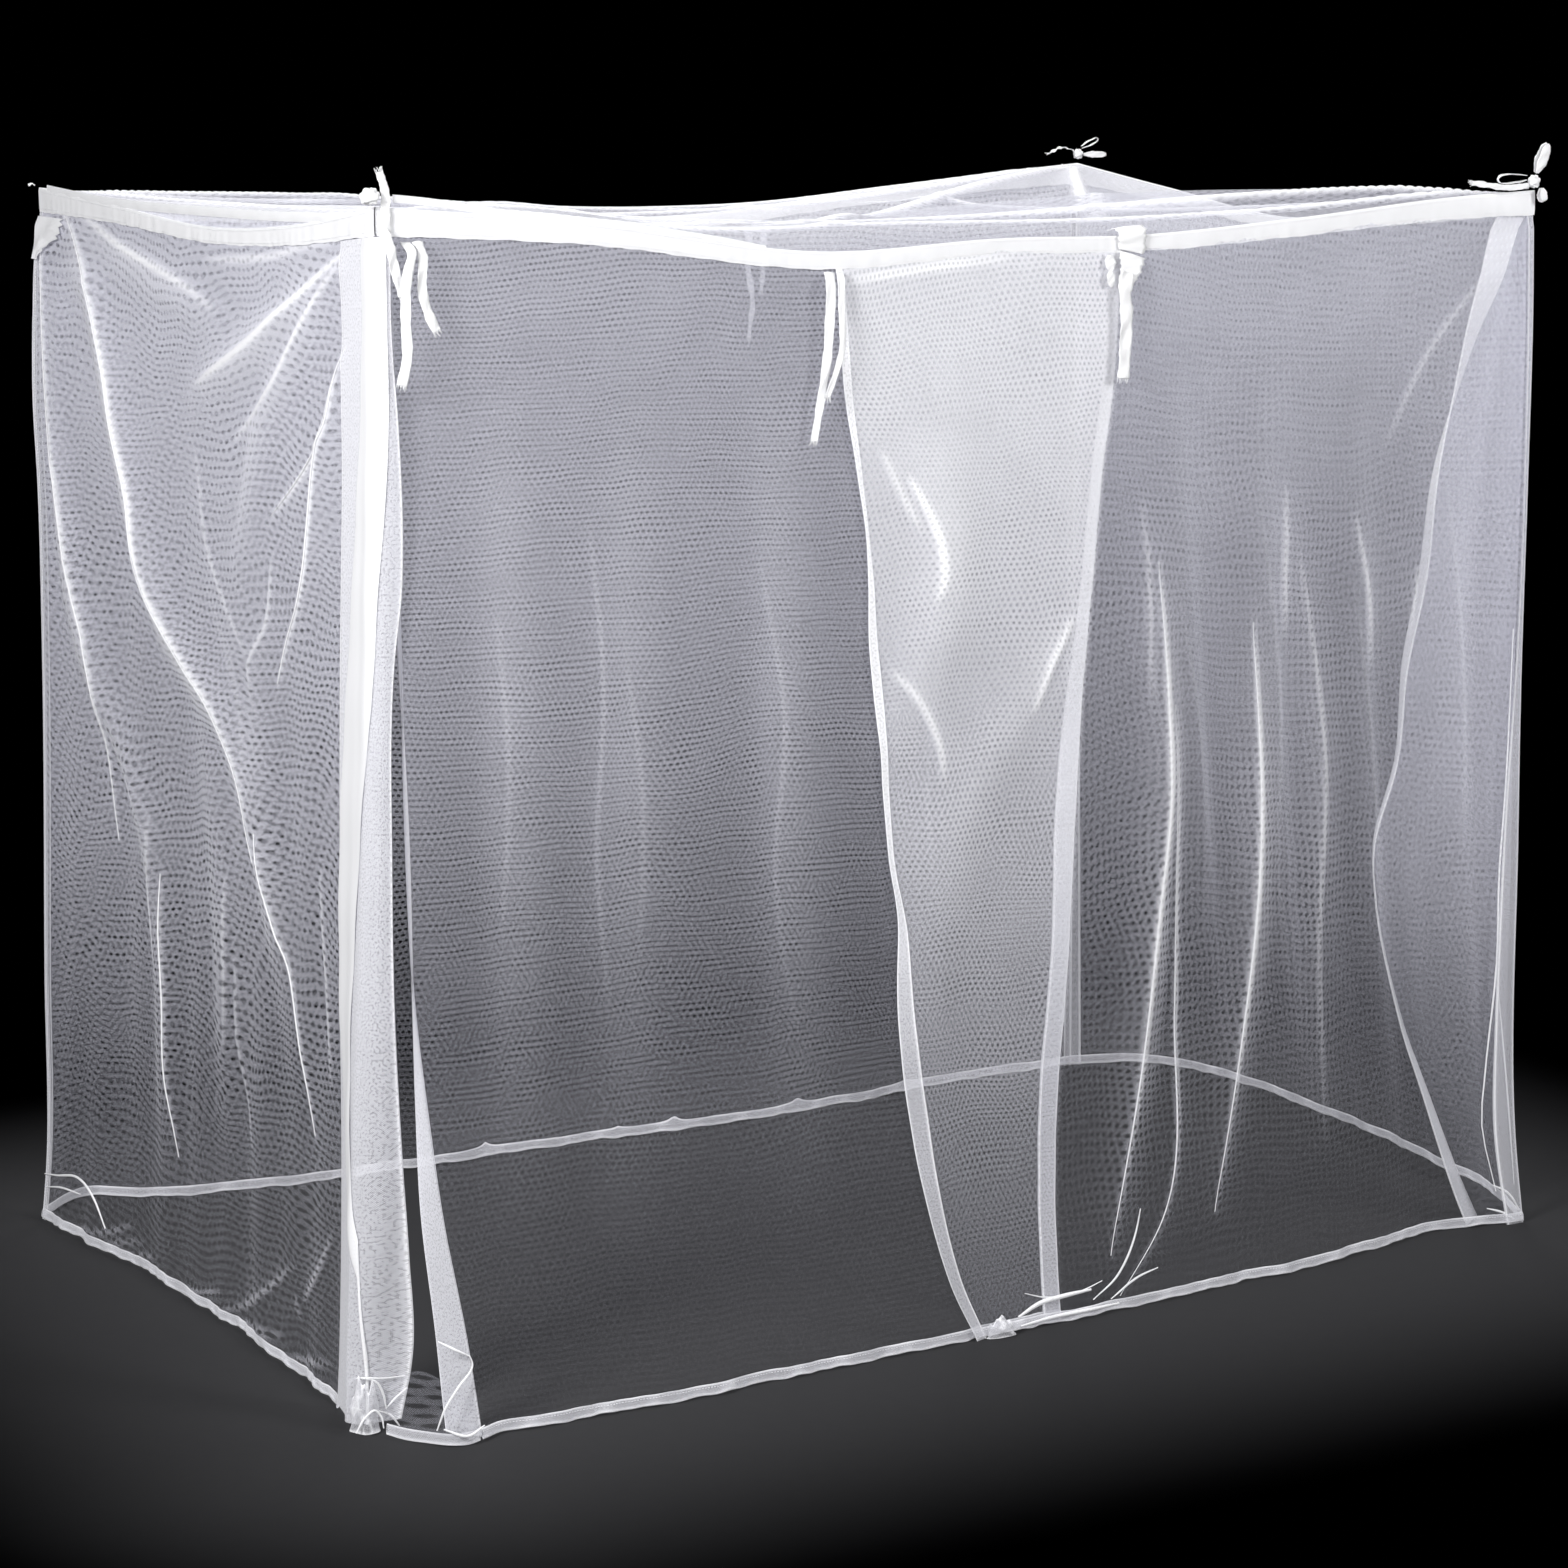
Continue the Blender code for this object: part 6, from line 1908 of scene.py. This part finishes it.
def make_near_corner_ties():
    corner = "front_left"
    lump = knot(
        "near_tie_knot_lump", offset_from(corner, -0.012, -0.008, 0.014), (0.024, 0.018, 0.020)
    )
    place(lump, "net_top", ["near_tie_knot"])
    wrap = around(corner, (
        (0.010, -0.0065, -0.032), (0.010, -0.0065, -0.006), (0.010, -0.008, 0.016),
        (0.003, -0.006, 0.044),
    ))
    tie(
        "near_tie_wrap_ribbon", "near_tie_wrap", "net_top", wrap, ((1, 0, 0), (0.75, 0, 0.35)),
        (0.016, 0.010), "front_tape_band", seed=3,
    )
    ends = (
        (
            "near_tie_short",
            (
                (0.004, -0.009, -0.026), (0.004, -0.028, -0.044), (0.012, -0.030, -0.080),
                (0.022, -0.030, -0.110),
            ),
            ((1, 0, 0.3), (0.9, 0, 0.4)),
        ),
        (
            "near_tie_long",
            (
                (0.037, -0.006, -0.044), (0.034, -0.032, -0.058), (0.026, -0.036, -0.082),
                (0.022, -0.036, -0.141), (0.023, -0.036, -0.190), (0.015, -0.036, -0.223),
            ),
            ((1, 0, 0), (0.7, -0.5, 0)),
        ),
        (
            "near_tie_frayed",
            (
                (0.054, -0.006, -0.044), (0.051, -0.028, -0.062), (0.049, -0.030, -0.105),
                (0.056, -0.030, -0.132), (0.068, -0.030, -0.156),
            ),
            ((1, 0, 0), (0.8, 0, 0.5)),
        ),
    )
    for seed, (body, points, across) in enumerate(ends):
        tie(
            body + "_ribbon", body + "_end", body, around(corner, points), across, 0.013,
            "front_tape_band", seed=seed + 5, wave=0.001,
        )


def bow_loop(start, tip, spread, side):
    start, tip, side = (np.array(a, float) for a in (start, tip, side))
    run = tip - start
    side = side / np.linalg.norm(side)
    places = (
        (0.04, 0.5), (0.35, 0.9), (0.70, 1.0), (0.95, 0.6), (1.0, 0.0), (0.95, -0.6), (0.70, -1.0),
        (0.35, -0.9), (0.04, -0.5),
    )
    return [start + run * along + side * spread * out for along, out in places]


def make_bow(prefix, centre, size, loops, tails):
    lump = knot(prefix + "_knot_lump", centre, size, 1)
    place(lump, "net_top", [prefix + "_knot"])
    for name, start, tip, spread, side, across, width in loops:
        path = bow_loop(centre + np.array(start), centre + np.array(tip), spread, side)
        tie(
            prefix + "_" + name + "_ribbon", prefix + "_" + name, "net_top", path, (across, across),
            width, lump.name, "folded", frayed=False, cup=0.05, leaf=True,
        )
    for name, points, across, width in tails:
        tie(
            prefix + "_" + name + "_ribbon", prefix + "_" + name, "net_top",
            [centre + np.array(p) for p in points], across, width, lump.name, seed=11, wave=0.001,
        )


def make_far_corner_bows():
    centre = offset_from("front_right", -0.012, -0.013, 0.014)
    loops = [
        (
            "upper_loop", (0.003, 0.0, 0.011), (0.024, 0.0, 0.056), 0.004, (0, 1, 0),
            (0.92, 0, -0.39), 0.018,
        ),
        (
            "lower_loop", (0.013, -0.002, -0.009), (0.015, -0.004, -0.030), 0.004, (0, 1, 0),
            (0.95, 0, 0.3), 0.013,
        ),
        (
            "flat_loop", (-0.012, 0.0, 0.006), (-0.070, 0.0, 0.004), 0.0065, (0, 0, 1), (0, 1, 0.1),
            0.010,
        ),
    ]
    tails = [
        (
            "tail",
            [
                (-0.012, -0.002, -0.006), (-0.055, -0.004, -0.008), (-0.105, -0.002, -0.002),
                (-0.122, -0.002, 0.000),
            ],
            ((0, 0.3, 1), (0, 0.5, 1)), 0.009,
        )
    ]
    make_bow("right_bow", centre, (0.018, 0.013, 0.018), loops, tails)
    centre = offset_from("back_right", 0.004, 0.004, 0.016)
    loops = [
        (
            "long_loop", (0.010, 0.0, -0.001), (0.058, -0.002, -0.001), 0.004, (0, 1, 0),
            (0, 0.1, 1), 0.011,
        ),
        (
            "upper_loop", (0.006, 0.0, 0.011), (0.040, -0.002, 0.026), 0.004, (-0.4, 0, 0.9),
            (0.2, 1, 0), 0.010,
        ),
    ]
    tails = [
        (
            "tail", [(-0.010, 0.0, 0.006), (-0.030, 0.002, 0.012), (-0.058, 0.004, 0.002)],
            ((0, 1, 0.3), (0, 1, 0)), 0.009,
        )
    ]
    make_bow("back_bow", centre, (0.016, 0.013, 0.016), loops, tails)
    loop = [
        (-0.004, 0.006, 0.002), (-0.004, 0.010, -0.014), (-0.008, 0.011, -0.022),
        (-0.013, 0.011, -0.024), (-0.018, 0.011, -0.022), (-0.022, 0.010, -0.014),
        (-0.022, 0.006, 0.002),
    ]
    path = [point + np.array([0, 0.006, -0.004]) for point in around("back_right", loop)]
    tie(
        "back_bow_hanging_ribbon", "back_bow_hanging_loop", "back_bow_loop", path,
        ((0, 1, 0), (0, 1, 0)), 0.010, "back_bow_knot_lump", frayed=False,
    )
    stub = ((-0.005, 0.004, 0.004), (-0.010, 0.006, 0.006), (-0.014, 0.008, 0.004))
    tie(
        "back_left_tie_ribbon", "back_left_tie", "net_top", around("back_left", stub),
        ((0, 1, 0), (0, 1, 0.3)), 0.008, "back_tape_band", frayed=False,
    )


def before_front(t, places):
    """Points before the front's tape: metres along it from t, below its top edge and out."""
    top = tape_line("front", np.array(t)) - CENTRE
    return [top + np.array([along, -out, -drop]) for along, drop, out in places]


LEFT_TIE, RIGHT_TIE = 0.355, 0.612
DOOR_TIES = (
    (
        "left_door_tie", "outer_door_left_tie", "left_door_tie", LEFT_TIE,
        (
            (-0.011, 0.027, 0.009), (-0.013, 0.040, 0.016), (-0.016, 0.104, 0.018),
            (-0.021, 0.146, 0.020), (-0.031, 0.198, 0.021), (-0.042, 0.251, 0.022),
        ),
        ((1, 0, 0), (0.8, -0.5, 0)), (0.016, 0.009), {"seed": 21, "wave": 0.001},
    ),
    (
        "left_door_tie_side", "outer_door_left_tie_side", "left_door_tie_side", LEFT_TIE,
        (
            (0.006, 0.027, 0.009), (0.004, 0.040, 0.016), (0.001, 0.080, 0.022),
            (-0.001, 0.127, 0.027), (-0.012, 0.158, 0.031), (-0.027, 0.191, 0.032),
        ),
        ((1, 0, 0), (0.9, 0, 0.4)), (0.011, 0.008), {"seed": 22},
    ),
    (
        "door_tie_wrap", "outer_door_tie_wrap", "net_top", RIGHT_TIE,
        (
            (0.0, -0.010, -0.018), (0.0, -0.011, -0.010), (0.0, -0.011, 0.0), (0.0, -0.004, 0.006),
            (0.0, 0.012, 0.006), (-0.002, 0.022, 0.007),
        ),
        ((1, 0, 0.1), (1, 0, 0)), (0.050, 0.046), {"held": "folded", "frayed": False, "cup": 0.02},
    ),
    (
        "right_door_tie_fall", "outer_door_tie_fall", "right_door_tie", RIGHT_TIE,
        ((-0.002, 0.026, 0.010), (-0.008, 0.045, 0.015), (-0.021, 0.068, 0.018)),
        ((1, 0, 0), (1, 0, 0)), (0.044, 0.022), {"frayed": False, "cup": 0.03},
    ),
    (
        "right_door_tie_lobe", "outer_door_tie_lobe", "right_door_tie", RIGHT_TIE,
        (
            (-0.040, 0.026, 0.010), (-0.042, 0.040, 0.014), (-0.042, 0.058, 0.016),
            (-0.041, 0.070, 0.016),
        ),
        ((1, 0, 0), (1, 0, 0)), (0.020, 0.012), {"frayed": False, "cup": 0.04, "leaf": True},
    ),
    (
        "right_door_tie", "outer_door_right_tie", "right_door_tie", RIGHT_TIE,
        (
            (-0.0150, 0.050, 0.020), (-0.0216, 0.074, 0.022), (-0.020, 0.110, 0.024),
            (-0.022, 0.150, 0.025), (-0.0258, 0.198, 0.026),
        ),
        ((1, 0, 0), (1, 0, 0)), (0.022, 0.019), {"seed": 24, "wave": 0.001},
    ),
)


def make_door_ties():
    for name, node, body, t, places, across, width, settings in DOOR_TIES:
        tie(
            name + "_ribbon", node, body, before_front(t, places), across, width, "front_tape_band",
            **settings,
        )


def make_back_ties():
    for name, t, ends in (
        ("back_tie_long", 0.655, ((0.0, 0.0), (-0.004, -0.060), (0.004, -0.120), (-0.002, -0.185))),
        ("back_tie_short", 0.668, ((0.0, 0.0), (0.002, -0.050), (-0.003, -0.110))),
    ):
        top = wall_point("back", t, 0.0, 0.0, fine=False) + np.array([0, 0.006, 0])
        points = []
        for i, (dx, dz) in enumerate(ends):
            points.append(top + np.array([dx, 0.002 * (i % 2), dz - 0.008]))
        tie(
            name + "_ribbon", name + "_end", name, points, ((1, 0, 0), (0.8, 0.5, 0)), 0.013,
            "back_tape_band", seed=len(ends) + 30, wave=0.001,
        )


def add_camera():
    data = bpy.data.cameras.new("camera")
    data.lens = LENS
    data.sensor_width = SENSOR
    data.clip_end = 50
    obj = new_object("camera", data)
    obj.location = CAMERA_PLACE
    obj.rotation_euler = [math.radians(a) for a in CAMERA_TURN]
    bpy.context.scene.camera = obj


def add_lamp(name, location, target, power, size):
    data = bpy.data.lights.new(name, "AREA")
    data.shape = "DISK"
    data.energy = power
    data.size = size
    obj = new_object(name, data)
    obj.location = location
    obj.rotation_euler = (Vector(target) - Vector(location)).to_track_quat("-Z", "Y").to_euler()


def add_studio():
    """A floor painted with a pool of light round the net and black beyond, with soft lamps all
    round.
    """
    mesh = bpy.data.meshes.new("floor")
    corners = [
        (x * FLOOR_REACH, y * FLOOR_REACH, FLOOR_LEVEL)
        for x, y in ((-1, -1), (1, -1), (1, 1), (-1, 1))
    ]
    mesh.from_pydata(corners, [], [(0, 1, 2, 3)])
    w = Wiring("floor_paper")
    where = w.add("ShaderNodeTexCoord").outputs["Object"]
    split = w.add("ShaderNodeSeparateXYZ")
    w.feed(split.inputs[0], where)
    squares = []
    for axis, half in zip(split.outputs, PAINTED_POOL_HALF):
        over = w.maths("MAXIMUM", w.maths("SUBTRACT", w.maths("ABSOLUTE", axis), half), 0.0)
        squares.append(w.maths("MULTIPLY", over, over))
    gap = w.maths("SQRT", w.maths("ADD", *squares))
    # Painted pool of light: the floor's colour fades from grey round the net to black beyond it
    fade = w.smooth_step(gap, 0.0, PAINTED_POOL_EDGE, 1.0, 0.0)
    grain = w.maths("MULTIPLY_ADD", w.noise(where, 40.0, 3.0), 0.08, 0.96)
    w.two_tones((0, 0, 0), FLOOR_GREY, w.maths("MULTIPLY", fade, grain))
    mesh.materials.append(w.finish(FLOOR_GREY, 0.95, shine=0.0))
    new_object("floor", mesh)
    for name, (location, target, power, size) in LAMPS.items():
        add_lamp(name, location, target, power, size)


def add_room():
    """Weak even light that the camera, reflections and see-through rays see as black."""
    world = bpy.data.worlds.new("room")
    bpy.context.scene.world = world
    world.use_nodes = True
    tree = world.node_tree
    light = tree.nodes["Background"]
    light.inputs["Color"].default_value, light.inputs["Strength"].default_value = ROOM_LIGHT
    dark = tree.nodes.new("ShaderNodeBackground")
    dark.inputs["Color"].default_value = (0, 0, 0, 1)
    path = tree.nodes.new("ShaderNodeLightPath")
    seen = path.outputs["Is Camera Ray"]
    for ray in ("Is Glossy Ray", "Is Transmission Ray"):
        either = tree.nodes.new("ShaderNodeMath")
        either.operation = "MAXIMUM"
        tree.links.new(seen, either.inputs[0])
        tree.links.new(path.outputs[ray], either.inputs[1])
        seen = either.outputs[0]
    mix = tree.nodes.new("ShaderNodeMixShader")
    tree.links.new(seen, mix.inputs[0])
    tree.links.new(light.outputs[0], mix.inputs[1])
    tree.links.new(dark.outputs[0], mix.inputs[2])
    tree.links.new(mix.outputs[0], tree.nodes["World Output"].inputs["Surface"])


def main():
    bpy.context.scene.view_settings.view_transform = "Standard"
    add_camera()
    add_studio()
    add_room()
    make_roof()
    for side in SIDES:
        make_tape(side)
    make_roof_edge("left_roof_edge", "left", np.linspace(0.02, 0.97, 140), LEFT_SEAM, 0.013)
    make_roof_edge("front_roof_edge", "front", np.linspace(0.012, 0.30, 70), FRONT_SEAM, 0.010)
    make_left_curtain()
    make_near_corner_strip()
    make_near_gusset()
    make_back_corner_patch()
    make_back_curtain()
    make_right_curtain()
    make_flap()
    make_front_curtains()
    make_near_corner_ties()
    make_far_corner_bows()
    make_door_ties()
    make_back_ties()
    make_floor_folds()
    make_ridges()
    make_stitches()


main()
